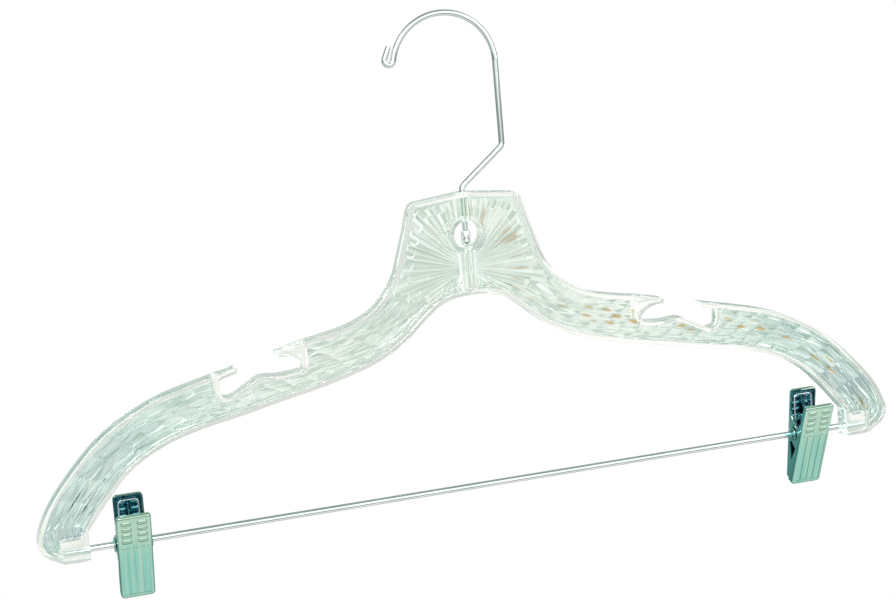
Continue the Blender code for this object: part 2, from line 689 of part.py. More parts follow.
def make_hook(parent):
    """The wire and the swaged head that traps it in the window."""
    hook = wire_solid("hook_wire", hook_path(), HOOK_WIRE_RADIUS, 2)
    low = RING_HEIGHT - WINDOW_RADIUS + HOOK_HEAD_FLOAT
    profile = [
        (0, low + HOOK_HEAD_LENGTH), (HOOK_WIRE_RADIUS * 0.9, low + HOOK_HEAD_LENGTH),
        (HOOK_HEAD_RADIUS, low + HOOK_HEAD_LENGTH * 0.85), (HOOK_HEAD_RADIUS, low + HOOK_HEAD_LENGTH * 0.3),
        (HOOK_HEAD_RADIUS * 0.75, low + HOOK_HEAD_LENGTH * 0.1), (HOOK_HEAD_RADIUS * 0.35, low), (0, low),
    ]
    boolean(hook, turned("head", profile), "UNION")
    tidy_mesh(hook)
    return finish_part(hook, "hook", CHROME, parent)


def plate_out(z):
    """How far the outer face of a jaw lies from the clip's middle plane at a height."""
    share = (z + JAW_BELOW_PIVOT) / (JAW_ABOVE_PIVOT + JAW_BELOW_PIVOT)
    return JAW_TIP_OUT + (JAW_TOP_OUT - JAW_TIP_OUT) * share


def jaw_side(facing):
    """The side wall of a jaw as (y, z), with its round ear; facing is -1 in front, 1 behind."""
    top = Vector((-JAW_TOP_OUT, JAW_ABOVE_PIVOT))
    points = [top, top + Vector((HANDLE_WALL_DEPTH, 0))]
    points.append(Vector((-plate_out(JAW_ABOVE_PIVOT * 0.5) + HANDLE_WALL_DEPTH, JAW_ABOVE_PIVOT * 0.5)))
    points.append(Vector((-EAR_RADIUS * 1.05, JAW_ABOVE_PIVOT * 0.27)))
    for k in range(11):
        angle = math.radians(125 - 250 * k / 10)
        points.append(EAR_RADIUS * Vector((math.cos(angle), math.sin(angle))))
    closing = SEAT_GAP / 2
    for below, depth in GRIP_WALL_SHARES:
        z = -JAW_BELOW_PIVOT * below
        wall = plate_out(z) - closing
        points.append(Vector((-plate_out(z) + wall * (0.35 + 0.65 * depth), z)))
    points.append(Vector((-closing, -JAW_BELOW_PIVOT)))
    points.append(Vector((-JAW_TIP_OUT, -JAW_BELOW_PIVOT)))
    return [Vector((-facing * point.x, point.y)) for point in points]


def round_long_edges(obj, facing, half_width, radius):
    """Rounds the two bends between the plate and the side walls."""
    bm = bmesh.new()
    bm.from_mesh(obj.data)
    bmesh.ops.remove_doubles(bm, verts=bm.verts, dist=SEAT_GAP / 100)
    edges = []
    for edge in bm.edges:
        one, two = (vert.co for vert in edge.verts)
        if abs(one.x - two.x) > SEAT_GAP / 10 or abs(abs(one.x) - half_width) > SEAT_GAP / 10:
            continue
        on_plate = [abs(point.y * facing - plate_out(point.z)) < SEAT_GAP for point in (one, two)]
        if all(on_plate) and abs(one.z - two.z) > JAW_ABOVE_PIVOT:
            edges.append(edge)
    bmesh.ops.bevel(bm, geom=edges, offset=radius, segments=2, profile=0.5, affect="EDGES")
    bm.to_mesh(obj.data)
    bm.free()


def stadium(length, width, upright):
    """A bar outline with round ends, centred, along Y if upright."""
    points = []
    reach = (length - width) / 2
    for end in (1, -1):
        for k in range(6):
            angle = math.pi * (k / 5 - 0.5) * end if end > 0 else math.pi * (k / 5 + 0.5)
            points.append(Vector((reach * end, 0)) + width / 2 * Vector((math.cos(angle), math.sin(angle))))
    if upright:
        points = [Vector((-point.y, point.x)) for point in points]
    return points


def raised_marks(facing, half_width):
    """The grip pills and the ribs, as one mesh of separate solids standing in the plate."""
    narrower = Matrix.Diagonal((half_width / JAW_HALF_WIDTH, 1, 1, 1))
    lean = math.atan2(JAW_TOP_OUT - JAW_TIP_OUT, JAW_ABOVE_PIVOT + JAW_BELOW_PIVOT)
    marks = []
    for row in range(PILL_ROWS):
        z = JAW_ABOVE_PIVOT - PILL_FALL_FROM_TOP - row * PILL_PITCH
        for side in (-1, 1):
            marks.append((side * PILL_COLUMN_OFFSET, z, stadium(PILL_LENGTH, PILL_WIDTH, False)))
    for k in range(RIB_COUNT):
        x = (k - (RIB_COUNT - 1) / 2) * RIB_PITCH
        z = -JAW_BELOW_PIVOT + RIB_END_FROM_TIP + RIB_LENGTH / 2
        marks.append((x, z, stadium(RIB_LENGTH, RIB_WIDTH, True)))
    result = None
    for x, z, points in marks:
        place = Matrix.Translation((x, facing * plate_out(z), z)) @ Matrix.Rotation(-facing * lean, 4, "X")
        mark = flat_solid("mark", [points], RAISED_HEIGHT * 2, narrower @ place @ FRONT_VIEW)
        if result is None:
            result = mark
            continue
        bm = bmesh.new()
        bm.from_mesh(result.data)
        bm.from_mesh(mark.data)
        bm.to_mesh(result.data)
        bm.free()
        bpy.data.objects.remove(mark, do_unlink=True)
    return result


def make_jaw(name, facing, half_width, parent):
    """One stamped jaw: a channel with ears, an eyelet hole, grip pills and ribs."""
    jaw = flat_solid("jaw", [jaw_side(facing)], half_width * 2, SIDE_VIEW)
    round_long_edges(jaw, facing, half_width, JAW_EDGE_RADIUS)
    low = -JAW_BELOW_PIVOT + JAW_SHEET
    high = JAW_ABOVE_PIVOT - JAW_SHEET
    inside = [
        Vector((facing * (plate_out(low) - JAW_SHEET), low)), Vector((facing * (plate_out(high) - JAW_SHEET), high)),
        Vector((-facing * JAW_TOP_OUT, high)), Vector((-facing * JAW_TOP_OUT, low)),
    ]
    channel = flat_solid("channel", [inside], (half_width - JAW_SHEET) * 2, SIDE_VIEW)
    boolean(jaw, channel, "DIFFERENCE")
    reach = half_width + CUT_OVERRUN
    boolean(jaw, cylinder("ear_hole", EAR_HOLE_RADIUS, -reach, reach, ALONG_X), "DIFFERENCE")
    boolean(jaw, raised_marks(facing, half_width), "UNION")
    tidy_mesh(jaw)
    return finish_part(jaw, name, PLATED_STEEL, parent)


def make_eyelet(name, parent):
    """The flared tube that rides on the bar and holds both jaws by their ears."""
    ear_face = JAW_HALF_WIDTH + SEAT_GAP
    end = ear_face + FLARE_LENGTH
    profile = [
        (EYELET_BORE_RADIUS, end), (FLARE_RADIUS, end), (FLARE_RADIUS, ear_face), (EYELET_RADIUS, ear_face),
        (EYELET_RADIUS, -ear_face), (FLARE_RADIUS, -ear_face), (FLARE_RADIUS, -end), (EYELET_BORE_RADIUS, -end),
    ]
    eyelet = turned("eyelet", profile, ALONG_X)
    tidy_mesh(eyelet)
    return finish_part(eyelet, name, PLATED_STEEL, parent)


def spring_path():
    """Half the spring's wire, from its front leg through one coil to the middle of its loop."""
    coil_radius = EAR_HOLE_RADIUS / math.cos(math.pi / COIL_POINTS) + SPRING_WIRE_RADIUS
    outer_x = INNER_JAW_HALF_WIDTH - JAW_SHEET - SPRING_SIDE_GAP - SPRING_WIRE_RADIUS
    rest = JAW_SHEET + SEAT_GAP + SPRING_WIRE_RADIUS
    loop_y = plate_out(SPRING_LOOP_HEIGHT) - rest
    leg_y = plate_out(SPRING_LEG_HEIGHT) - rest
    leave = math.atan2(SPRING_LOOP_HEIGHT, loop_y) - math.acos(coil_radius / math.hypot(SPRING_LOOP_HEIGHT, loop_y))
    arrive = math.pi - math.atan2(SPRING_LEG_HEIGHT, leg_y)
    arrive += math.acos(coil_radius / math.hypot(SPRING_LEG_HEIGHT, leg_y))
    sweep = leave + 2 * math.pi - arrive + 2 * math.pi * SPRING_TURNS
    pitch = SPRING_WIRE_RADIUS * 2 + SPRING_TURN_GAP
    inner_x = outer_x - pitch * sweep / (2 * math.pi)
    steps = round(COIL_POINTS * sweep / (2 * math.pi))
    path = [Vector((inner_x, -leg_y, SPRING_LEG_HEIGHT))]
    for k in range(steps + 1):
        angle = arrive + sweep * k / steps
        x = inner_x + (outer_x - inner_x) * k / steps
        path.append(Vector((x, coil_radius * math.cos(angle), coil_radius * math.sin(angle))))
    corner = Vector((outer_x, loop_y, SPRING_LOOP_HEIGHT))
    down = (path[-1] - corner).normalized()
    across = Vector((-1, 0, 0))
    path.append(corner + down * SPRING_LOOP_CORNER)
    path.append(corner + (down + across) * SPRING_LOOP_CORNER * 0.3)
    path.append(corner + across * SPRING_LOOP_CORNER)
    return path


def least_gap(path, radius):
    """The least gap of a wire to itself, leaving out each point's own neighbourhood."""
    places = [0.0]
    for one, two in zip(path, path[1:]):
        places.append(places[-1] + (two - one).length)
    least = None
    for i, one in enumerate(path):
        for j in range(i + 1, len(path)):
            if places[j] - places[i] < radius * 8:
                continue
            gap = (path[j] - one).length - radius * 2
            least = gap if least is None else min(least, gap)
    return least


def make_spring(name, parent):
    """A double torsion spring of one wire: two coils on the eyelet and a loop behind."""
    half = spring_path()
    path = half + [Vector((-point.x, point.y, point.z)) for point in reversed(half)]
    spring = wire_solid(name, path, SPRING_WIRE_RADIUS, 1)
    print(f"{name}: least gap to itself {least_gap(path, SPRING_WIRE_RADIUS) / MM:.2f} mm")
    return finish_part(spring, name, CHROME, parent)


def clip_place():
    """As far out along the bar as a clip's handle still turns clear of the arm."""
    under = underside_points()
    for one, two in zip(under, under[1:]):
        if two.y > HANDLE_REACH + SEAT_GAP * 2:
            share = (HANDLE_REACH + SEAT_GAP * 2 - one.y) / (two.y - one.y)
            return one.x + (two.x - one.x) * share - JAW_HALF_WIDTH
    return 0


def make_clip(word, side, parent):
    """One clip on the bar, turned to the angle at which it was left."""
    slide = make_empty(f"{word}_clip_slide", (side * clip_place(), 0, 0), parent)
    swing = make_empty(f"{word}_clip_swing", (0, 0, 0), slide, math.radians(CLIP_SWING))
    make_eyelet(f"{word}_pivot_eyelet", slide)
    make_jaw(f"{word}_rear_jaw", 1, INNER_JAW_HALF_WIDTH, swing)
    make_jaw(f"{word}_front_jaw", -1, JAW_HALF_WIDTH, swing)
    make_spring(f"{word}_clip_spring", swing)


bar_line = make_empty("bar_line", (0, 0, -BAR_DROP))
make_body(bar_line)
make_bar(bar_line)
make_hook(bar_line)
make_clip("left", -1, bar_line)
make_clip("right", 1, bar_line)
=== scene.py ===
import math
import random

import bmesh
import bpy
from mathutils import Matrix, Vector


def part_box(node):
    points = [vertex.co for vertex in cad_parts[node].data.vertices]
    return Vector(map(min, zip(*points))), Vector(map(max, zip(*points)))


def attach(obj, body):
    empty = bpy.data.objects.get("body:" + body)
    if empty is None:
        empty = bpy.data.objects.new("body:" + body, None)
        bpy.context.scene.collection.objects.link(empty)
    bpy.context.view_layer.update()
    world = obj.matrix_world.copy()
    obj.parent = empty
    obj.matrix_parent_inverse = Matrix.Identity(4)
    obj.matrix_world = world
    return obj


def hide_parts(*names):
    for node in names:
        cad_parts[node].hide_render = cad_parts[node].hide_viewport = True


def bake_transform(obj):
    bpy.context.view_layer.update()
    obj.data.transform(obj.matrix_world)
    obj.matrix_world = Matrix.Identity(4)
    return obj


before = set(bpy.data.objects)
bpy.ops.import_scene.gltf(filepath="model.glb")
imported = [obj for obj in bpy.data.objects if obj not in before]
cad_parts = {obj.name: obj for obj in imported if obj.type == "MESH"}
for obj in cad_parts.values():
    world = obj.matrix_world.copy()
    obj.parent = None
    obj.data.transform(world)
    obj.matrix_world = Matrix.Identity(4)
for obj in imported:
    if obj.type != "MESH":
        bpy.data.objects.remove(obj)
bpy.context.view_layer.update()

# every piece is drawn in millimetres round the middle of the trouser bar, then put in place by barFrame
mm = 0.001
barLow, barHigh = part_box("trouser_bar")
barHeight = (barLow.z + barHigh.z) / 2
barFrame = Matrix.Translation((barLow + barHigh) / 2) @ Matrix.Scale(mm, 4)
upright = Matrix.Identity(4)
frontView = Matrix.Rotation(math.pi / 2, 4, "X")
alongBar = Matrix.Rotation(math.pi / 2, 4, "Y")

# the hanger is seen from a little above and to the left, with the picture turned 5 degrees
view = {
    "lens": 75.2, "sensor": 36.0, "nearest": 0.01, "place": (-0.2448, -0.8463, 0.0224),
    "right": (0.95637, -0.27941, -0.08537), "up": (0.12989, 0.14489, 0.98088),
    "forward": (0.26170, 0.94918, -0.17486),
}


def newObject(name, data):
    thing = bpy.data.objects.new(name, data)
    bpy.context.scene.collection.objects.link(thing)
    return thing


def setCamera():
    data = bpy.data.cameras.new("camera")
    data.lens = view["lens"]
    data.sensor_width = view["sensor"]
    data.sensor_fit = "HORIZONTAL"
    data.clip_start = view["nearest"]
    camera = newObject("camera", data)
    axes = Matrix((view["right"], view["up"], -Vector(view["forward"]))).transposed()
    camera.matrix_world = Matrix.Translation(view["place"]) @ axes.to_4x4()
    bpy.context.scene.camera = camera
    bpy.context.scene.view_settings.view_transform = "Standard"


setCamera()
print("camera is set")

# node helpers


def plug(tree, value, socket):
    # a link, a colour or a plain value for a socket
    if isinstance(value, bpy.types.NodeSocket):
        tree.links.new(value, socket)
    else:
        socket.default_value = (*value, 1) if socket.type == "RGBA" else value


def setNode(tree, node, **values):
    # each value is for a property of the node, or else for one of its sockets
    for key, value in values.items():
        if hasattr(node, key):
            setattr(node, key, value)
        else:
            plug(tree, value, node.inputs[key.replace("_", " ")])
    return node


def addNode(tree, kind, **values):
    return setNode(tree, tree.nodes.new("ShaderNode" + kind), **values)


def mathNode(tree, operation, *values, clamp=False):
    node = addNode(tree, "Math", operation=operation, use_clamp=clamp)
    for value, socket in zip(values, node.inputs):
        plug(tree, value, socket)
    return node.outputs[0]


def product(tree, result, *others):
    for other in others:
        result = mathNode(tree, "MULTIPLY", result, other)
    return result


def mixColors(tree, share, one, two):
    node = addNode(tree, "Mix", data_type="RGBA")
    for value, slot in ((share, 0), (one, 6), (two, 7)):
        plug(tree, value, node.inputs[slot])
    return node.outputs[2]


def splitAxes(tree, vector):
    return addNode(tree, "SeparateXYZ", Vector=vector).outputs


def joinAxes(tree, x, y):
    return addNode(tree, "CombineXYZ", X=x, Y=y).outputs[0]


def ramp(tree, value, low, high, least=0.0):
    # least below low, 1 above high, smooth between
    node = addNode(tree, "MapRange", interpolation_type="SMOOTHSTEP", Value=value)
    return setNode(tree, node, From_Min=low, From_Max=high, To_Min=least).outputs[0]


def bands(tree, value, stops):
    # colours along a line, each running softly into the next; stops are (place, colour) in order
    low = stops[0][0]
    high = stops[-1][0]
    share = addNode(tree, "MapRange", Value=value, From_Min=low, From_Max=high).outputs[0]
    node = addNode(tree, "ValToRGB", Fac=share)
    node.color_ramp.interpolation = "EASE"
    marks = node.color_ramp.elements
    for place, color in stops[1:-1]:
        marks.new((place - low) / (high - low))
    for mark, (place, color) in zip(marks, stops):
        mark.color = (*color, 1)
    return node.outputs[0]


def noise(tree, place, scale, detail=2.0, roughness=0.5, stretch=None):
    if stretch:
        place = addNode(tree, "Mapping", Scale=stretch, Vector=place).outputs[0]
    node = addNode(tree, "TexNoise", Vector=place, Scale=scale, Detail=detail, Roughness=roughness)
    return node.outputs["Fac"]


def bump(tree, height, strength, distance):
    return addNode(tree, "Bump", Strength=strength, Distance=distance, Height=height).outputs[0]


def newGroup(name, inputs, outputs):
    # a shader node group over a place; sockets are (name, type, value) in and (name, type) out
    group = bpy.data.node_groups.new(name, "ShaderNodeTree")
    for label, kind, value in (("Vector", "Vector", (0, 0, 0)), *inputs):
        socket = group.interface.new_socket(name=label, in_out="INPUT", socket_type="NodeSocket" + kind)
        socket.default_value = value
    for label, kind in outputs:
        group.interface.new_socket(name=label, in_out="OUTPUT", socket_type="NodeSocket" + kind)
    return group, group.nodes.new("NodeGroupInput").outputs, group.nodes.new("NodeGroupOutput").inputs


def makeHandlingMarks():
    # smears and hairline scratches from being handled; puts out a mask and a height
    group, start, end = newGroup(
        "handlingMarks", [("Smear Size", "Float", 40.0)], [("Mask", "Float"), ("Height", "Float")]
    )
    smears = ramp(group, noise(group, start["Vector"], start["Smear Size"], 3.0, 0.6), 0.42, 0.7)
    lines = ramp(group, noise(group, start["Vector"], 260.0, stretch=(1.0, 0.35, 6.0)), 0.62, 0.7)
    plug(group, mathNode(group, "ADD", smears, product(group, lines, 0.35), clamp=True), end["Mask"])
    plug(group, product(group, lines, -1.0), end["Height"])
    return group


def makePlatingTint():
    # thin plating never takes evenly: the colour drifts between two tints
    group, start, end = newGroup(
        "platingTint",
        [("Drift Size", "Float", 60.0), ("Bright", "Color", (1, 1, 1, 1)),
         ("Deep", "Color", (0.5, 0.5, 0.5, 1))],
        [("Color", "Color")],
    )
    share = ramp(group, noise(group, start["Vector"], start["Drift Size"], 4.0, 0.55), 0.3, 0.7)
    plug(group, mixColors(group, share, start["Bright"], start["Deep"]), end["Color"])
    return group


def makeEdgeWearAndGlint():
    # corners brightened: rubbed bright by hands and rails, and where nothing rubs them, as inside the jaws,
    # a painted highlight
    group, start, end = newGroup("edgeWearAndGlint", [("Amount", "Float", 0.5)], [("Mask", "Float")])
    corner = ramp(group, addNode(group, "NewGeometry").outputs["Pointiness"], 0.52, 0.62)
    broken = ramp(group, noise(group, start["Vector"], 420.0, 3.0), 0.35, 0.65)
    wornAndGlint = mathNode(group, "MULTIPLY", product(group, corner, broken), start["Amount"], clamp=True)
    plug(group, wornAndGlint, end["Mask"])
    return group


handlingMarks = makeHandlingMarks()
platingTint = makePlatingTint()
edgeWearAndGlint = makeEdgeWearAndGlint()


def newMaterial(name):
    material = bpy.data.materials.new(name)
    material.use_nodes = True
    tree = material.node_tree
    return material, tree, tree.nodes["Principled BSDF"], addNode(tree, "TexCoord").outputs["Object"]


def placeGroup(tree, group, place, **values):
    return addNode(tree, "Group", node_tree=group, Vector=place, **values).outputs


def addMarks(tree, place, values):
    # handling marks, and the roughness that they leave
    marks = placeGroup(tree, handlingMarks, place, Smear_Size=values["smear"])
    low, high = values["roughness"]
    return marks, mathNode(tree, "MULTIPLY_ADD", marks["Mask"], high - low, low)


# the rim colour is a painted highlight on the rim's faces; the rim glow and the trapped colour are painted
# glow given out as emission
clearPlastic = {
    "ior": 1.49, "pale": (0.78, 0.91, 0.86), "mint": (0.64, 0.80, 0.745), "lilac": (0.70, 0.78, 0.80),
    "lilacRun": (0.13, 0.2), "neck": (0.94, 0.985, 0.93), "neckRun": (0.18, 0.08),
    "rim": (1.0, 0.985, 0.965), "rimRun": (0.0042, 0.0048), "paintedRimGlow": (0.055, 0.049, 0.045),
    "rimRoughness": 0.12, "unlit": (0.0, 0.0, 0.0), "paintedTrappedGlow": (0.62, 0.68, 0.65), "turns": 3.5,
    "smear": 35.0, "roughness": (0.01, 0.05), "ripple": 0.00005,
}


def makeClearPlastic():
    v = clearPlastic
    material, tree, shader, place = newMaterial("clearPlastic")
    axes = splitAxes(tree, place)
    outward = mathNode(tree, "ABSOLUTE", axes["X"])
    drift = ramp(tree, noise(tree, place, 30.0, 3.0, stretch=(1.0, 1.0, 2.5)), 0.35, 0.65)
    tint = mixColors(tree, drift, v["pale"], v["mint"])
    tint = mixColors(tree, product(tree, ramp(tree, outward, *v["lilacRun"]), drift), tint, v["lilac"])
    tint = mixColors(tree, ramp(tree, outward, *v["neckRun"]), tint, v["neck"])
    # painted reflection: amber glints along the arms
    tint = mixColors(tree, paintedGlintMask(tree, axes, outward), tint, paintedAmberGlints["color"])
    # painted reflection: brown glints in some of the neck's rays
    tint = mixColors(tree, paintedRayMask(tree, axes), tint, paintedRayGlints["color"])
    # painted highlight: the rim's faces and edges get a warm white tint in place of the web's green, for the
    # white lines light draws along the rim
    rim = ramp(tree, mathNode(tree, "ABSOLUTE", axes["Y"]), *v["rimRun"])
    # painted glow: an emission on the rim's faces stands in for the light the rim gathers and shows at its
    # edges, and a pale emission stands in for what has turned round inside again and again
    leak = mathNode(tree, "GREATER_THAN", addNode(tree, "LightPath").outputs["Glossy Depth"], v["turns"])
    paintedGlow = mixColors(tree, leak, mixColors(tree, rim, v["unlit"], v["paintedRimGlow"]), v["paintedTrappedGlow"])
    rough = mathNode(tree, "ADD", addMarks(tree, place, v)[1], product(tree, rim, v["rimRoughness"]))
    setNode(
        tree, shader, Transmission_Weight=1.0, IOR=v["ior"], Base_Color=mixColors(tree, rim, tint, v["rim"]),
        Roughness=rough, Emission_Color=paintedGlow, Emission_Strength=1.0,
        Normal=bump(tree, noise(tree, place, 90.0), 1.0, v["ripple"])
    )
    return material


# painted amber glints, reflections of warm surroundings
paintedAmberGlints = {
    "color": (0.68, 0.47, 0.20), "share": (0.1, 0.4), "run": (0.02, 0.08), "fewest": 0.15,
    "row": (0.005, 0.003), "cell": (0.013, 0.0042), "size": (0.28, 0.10), "armSize": (0.2, 0.1),
    "armMiddle": ((0, 0.95), (0.25, 0.80), (0.4, 0.715), (0.7, 0.588), (0.8, 0.52), (0.875, 0.425),
                  (0.95, 0.28), (1, 0.15)),
}


def paintedGlintMask(tree, axes, outward):
    # painted amber glints, reflections of warm surroundings, in a row along the middle of each arm, the same
    # way round on both
    v = paintedAmberGlints
    middle = addNode(tree, "FloatCurve", Value=mathNode(tree, "DIVIDE", outward, v["armSize"][0]))
    points = middle.mapping.curves[0].points
    for place in v["armMiddle"][1:-1]:
        points.new(*place)
    for point, place in zip(points, v["armMiddle"]):
        point.location = place
    middle.mapping.update()
    height = mathNode(tree, "MULTIPLY_ADD", middle.outputs[0], v["armSize"][1], barHeight)
    rise = mathNode(tree, "SUBTRACT", axes["Z"], height)
    across, upward = [mathNode(tree, "DIVIDE", *pair) for pair in zip((outward, rise), v["cell"])]
    spread = joinAxes(tree, across, mathNode(tree, "ADD", upward, 0.5))
    cells = addNode(tree, "TexVoronoi", voronoi_dimensions="2D", Vector=spread, Scale=1.0, Randomness=0.7)
    pick = addNode(tree, "SeparateColor", Color=cells.outputs["Color"]).outputs[0]
    chosen = ramp(tree, pick, *v["share"])
    here = ramp(tree, axes["X"], *v["run"], v["fewest"])
    inRow = ramp(tree, mathNode(tree, "ABSOLUTE", rise), *v["row"])
    return product(tree, chosen, here, inRow, ramp(tree, cells.outputs["Distance"], *v["size"]))


# painted brown glints on the neck's rays
paintedRayGlints = {
    "color": (0.70, 0.62, 0.49), "hub": 0.1072, "run": (0.007, 0.013, 0.026, 0.034), "fine": 20.0,
    "length": 3.0, "share": (0.60, 0.74), "middle": 0.004, "left": 0.4,
}


def paintedRayMask(tree, axes):
    # painted reflection: a few of the neck's rays get a brown glint, more on the right
    v = paintedRayGlints
    rise = mathNode(tree, "SUBTRACT", axes["Z"], barHeight + v["hub"])
    angle = mathNode(tree, "ARCTAN2", rise, axes["X"])
    fromHub = joinAxes(tree, axes["X"], rise)
    reach = addNode(tree, "VectorMath", operation="LENGTH", Vector=fromHub).outputs["Value"]
    spread = joinAxes(tree, angle, product(tree, reach, v["length"]))
    chosen = ramp(tree, noise(tree, spread, v["fine"], 0.0), *v["share"])
    toRight = ramp(tree, axes["X"], -v["middle"], v["middle"], v["left"])
    start, full, fade, end = v["run"]
    run = product(tree, ramp(tree, reach, start, full), ramp(tree, reach, end, fade))
    return product(tree, chosen, toRight, run)


# the wall colour is a painted shade for the faces turned sideways
platedSteel = {
    "handle": (0.50, 0.70, 0.56), "grip": (0.28, 0.60, 0.52), "wall": (0.12, 0.46, 0.45),
    "wornAndGlint": (0.85, 0.95, 0.90), "wearAndGlint": 0.7, "handleLow": 9.0, "gripHigh": -8.0, "streaks": 0.6,
    "wallShadeRun": (0.55, 0.95), "deepShare": 0.12,
    "drift": 160.0, "smear": 90.0, "roughness": (0.10, 0.20), "grain": 0.000006,
}
# inside the stamping: a dark navy painted shade where the inner faces lie in shadow, and painted highlights
# along the dents' edges
shadedInside = {
    **platedSteel,
    "handle": (0.12, 0.34, 0.41), "grip": (0.05, 0.26, 0.34), "wall": (0.03, 0.22, 0.30),
    "wornAndGlint": (0.85, 0.97, 0.95), "wearAndGlint": 1.0, "handleLow": 5.0, "gripHigh": -1.0, "streaks": 0.3,
    "roughness": (0.05, 0.10), "grain": 0.000004,
}
brightWire = {
    "bright": (0.93, 0.96, 0.95), "deep": (0.78, 0.87, 0.85), "wornAndGlint": (0.97, 0.98, 0.97), "wearAndGlint": 0.5,
    "drift": 45.0, "smear": 70.0, "roughness": (0.04, 0.12), "grain": 0.00001,
}
springSteel = {
    **brightWire,
    "bright": (0.90, 0.94, 0.93), "deep": (0.72, 0.80, 0.79), "wornAndGlint": (0.95, 0.96, 0.95),
    "roughness": (0.08, 0.2),
}


def plateMetal(tree, shader, place, values, bright, deep):
    # metal whose colour drifts between two tints, brightened at its corners by rubbing and by painted
    # highlight; gives back its scratches
    tint = placeGroup(tree, platingTint, place, Drift_Size=values["drift"], Bright=bright, Deep=deep)
    wearAndGlint = placeGroup(tree, edgeWearAndGlint, place, Amount=values["wearAndGlint"])
    color = mixColors(tree, wearAndGlint["Mask"], tint["Color"], values["wornAndGlint"])
    marks, rough = addMarks(tree, place, values)
    setNode(tree, shader, Metallic=1.0, Base_Color=color, Roughness=rough)
    return marks["Height"]


def makePlatedSteel(name, values):
    # pale grey-green on the handles, bluer on the grips, and darkest on the folded walls as painted shade
    # where they face sideways
    material, tree, shader, place = newMaterial(name)
    run = [barHeight + values[key] * mm for key in ("gripHigh", "handleLow")]
    streaks = ramp(tree, noise(tree, place, 420.0, stretch=(1.0, 0.04, 0.04)), 0.4, 0.64)
    grip = mixColors(tree, product(tree, streaks, values["streaks"]), values["grip"], values["handle"])
    face = mixColors(tree, ramp(tree, splitAxes(tree, place)["Z"], *run), grip, values["handle"])
    # painted shade: faces turned sideways, as the folded walls are, take the darker wall colour
    facing = splitAxes(tree, addNode(tree, "TexCoord").outputs["Normal"])
    wall = ramp(tree, mathNode(tree, "ABSOLUTE", facing["X"]), *values["wallShadeRun"])
    face = mixColors(tree, wall, face, values["wall"])
    deep = mixColors(tree, values["deepShare"], face, values["wall"])
    plateMetal(tree, shader, place, values, face, deep)
    grain = noise(tree, place, 500.0, stretch=(6.0, 1.0, 0.4))
    setNode(tree, shader, Normal=bump(tree, grain, 0.6, values["grain"]))
    return material


def makeBrightWire(name, values):
    material, tree, shader, place = newMaterial(name)
    scratches = plateMetal(tree, shader, place, values, values["bright"], values["deep"])
    setNode(tree, shader, Normal=bump(tree, scratches, 0.5, values["grain"]))
    return material


plasticMaterial = makeClearPlastic()
steelMaterial = makePlatedSteel("platedSteel", platedSteel)
# the inside of each jaw: painted shade with painted highlights
insideMaterial = makePlatedSteel("shadedInside", shadedInside)
wireMaterial = makeBrightWire("brightWire", brightWire)
springMaterial = makeBrightWire("springSteel", springSteel)
print("materials are made")

# drawing helpers


def wayTo(angle):
    return Vector((math.cos(angle), math.sin(angle)))


def nextOnes(loop):
    # each member of a closed loop with the one after it
    return zip(loop, loop[1:] + loop[:1])


def smoothPoints(points, perSpan):
    # a smooth curve through the given points, ends included
    result = []
    ends = [points[0] * 2 - points[1], *points, points[-1] * 2 - points[-2]]
    for i in range(1, len(ends) - 2):
        p0, p1, p2, p3 = ends[i - 1:i + 3]
        for k in range(perSpan):
            t = k / perSpan
            curve = 2 * p1 + (p2 - p0) * t + (2 * p0 - 5 * p1 + 4 * p2 - p3) * t * t
            result.append((curve + (3 * p1 - p0 - 3 * p2 + p3) * t ** 3) / 2)
    return result + [points[-1]]


def roundCorner(before, corner, after, radius, steps):
    into = (before - corner).normalized()
    out = (after - corner).normalized()
    halfAngle = into.angle(out) / 2
    tangent = radius / math.tan(halfAngle)
    centre = corner + (into + out).normalized() * radius / math.sin(halfAngle)
    first = corner + into * tangent - centre
    last = corner + out * tangent - centre
    turn = math.pi - 2 * halfAngle
    arc = []
    for k in range(steps + 1):
        t = k / steps
        arc.append(centre + (first * math.sin((1 - t) * turn) + last * math.sin(t * turn)) / math.sin(turn))
    return arc


def growPath(points, distance):
    # an open path moved to its right
    result = []
    for i, point in enumerate(points):
        before = points[i - 1] if i else point * 2 - points[1]
        after = points[i + 1] if i < len(points) - 1 else point * 2 - points[-2]
        ways = ((point - before).normalized(), (after - point).normalized())
        one, two = [Vector((way.y, -way.x)) for way in ways]
        normal = (one + two).normalized()
        result.append(point + normal * distance / max(normal.dot(one), 0.5))
    return result


def mirrored(points):
    return [Vector((-point.x, point.y)) for point in reversed(points)]


def heightAt(points, x):
    for one, two in zip(points, points[1:]):
        if min(one.x, two.x) <= x <= max(one.x, two.x) and one.x != two.x:
            return one.y + (two.y - one.y) * (x - one.x) / (two.x - one.x)
    return min((abs(point.x - x), point.y) for point in points)[1]


def pointAt(points, height):
    # the outermost place of a path at a height
    best = points[0]
    for one, two in zip(points, points[1:]):
        if min(one.y, two.y) <= height <= max(one.y, two.y) and one.y != two.y:
            best = one + (two - one) * (height - one.y) / (two.y - one.y)
    return best


def fromBmesh(name, bm):
    mesh = bpy.data.meshes.new(name)
    bm.to_mesh(mesh)
    bm.free()
    return newObject(name, mesh)


def bakeShape(piece):
    # the shape with its modifiers and its place worked into one mesh
    bpy.context.view_layer.update()
    evaluated = piece.evaluated_get(bpy.context.evaluated_depsgraph_get())
    mesh = bpy.data.meshes.new_from_object(evaluated)
    mesh.transform(piece.matrix_world)
    name = piece.name
    bpy.data.objects.remove(piece, do_unlink=True)
    return newObject(name, mesh)


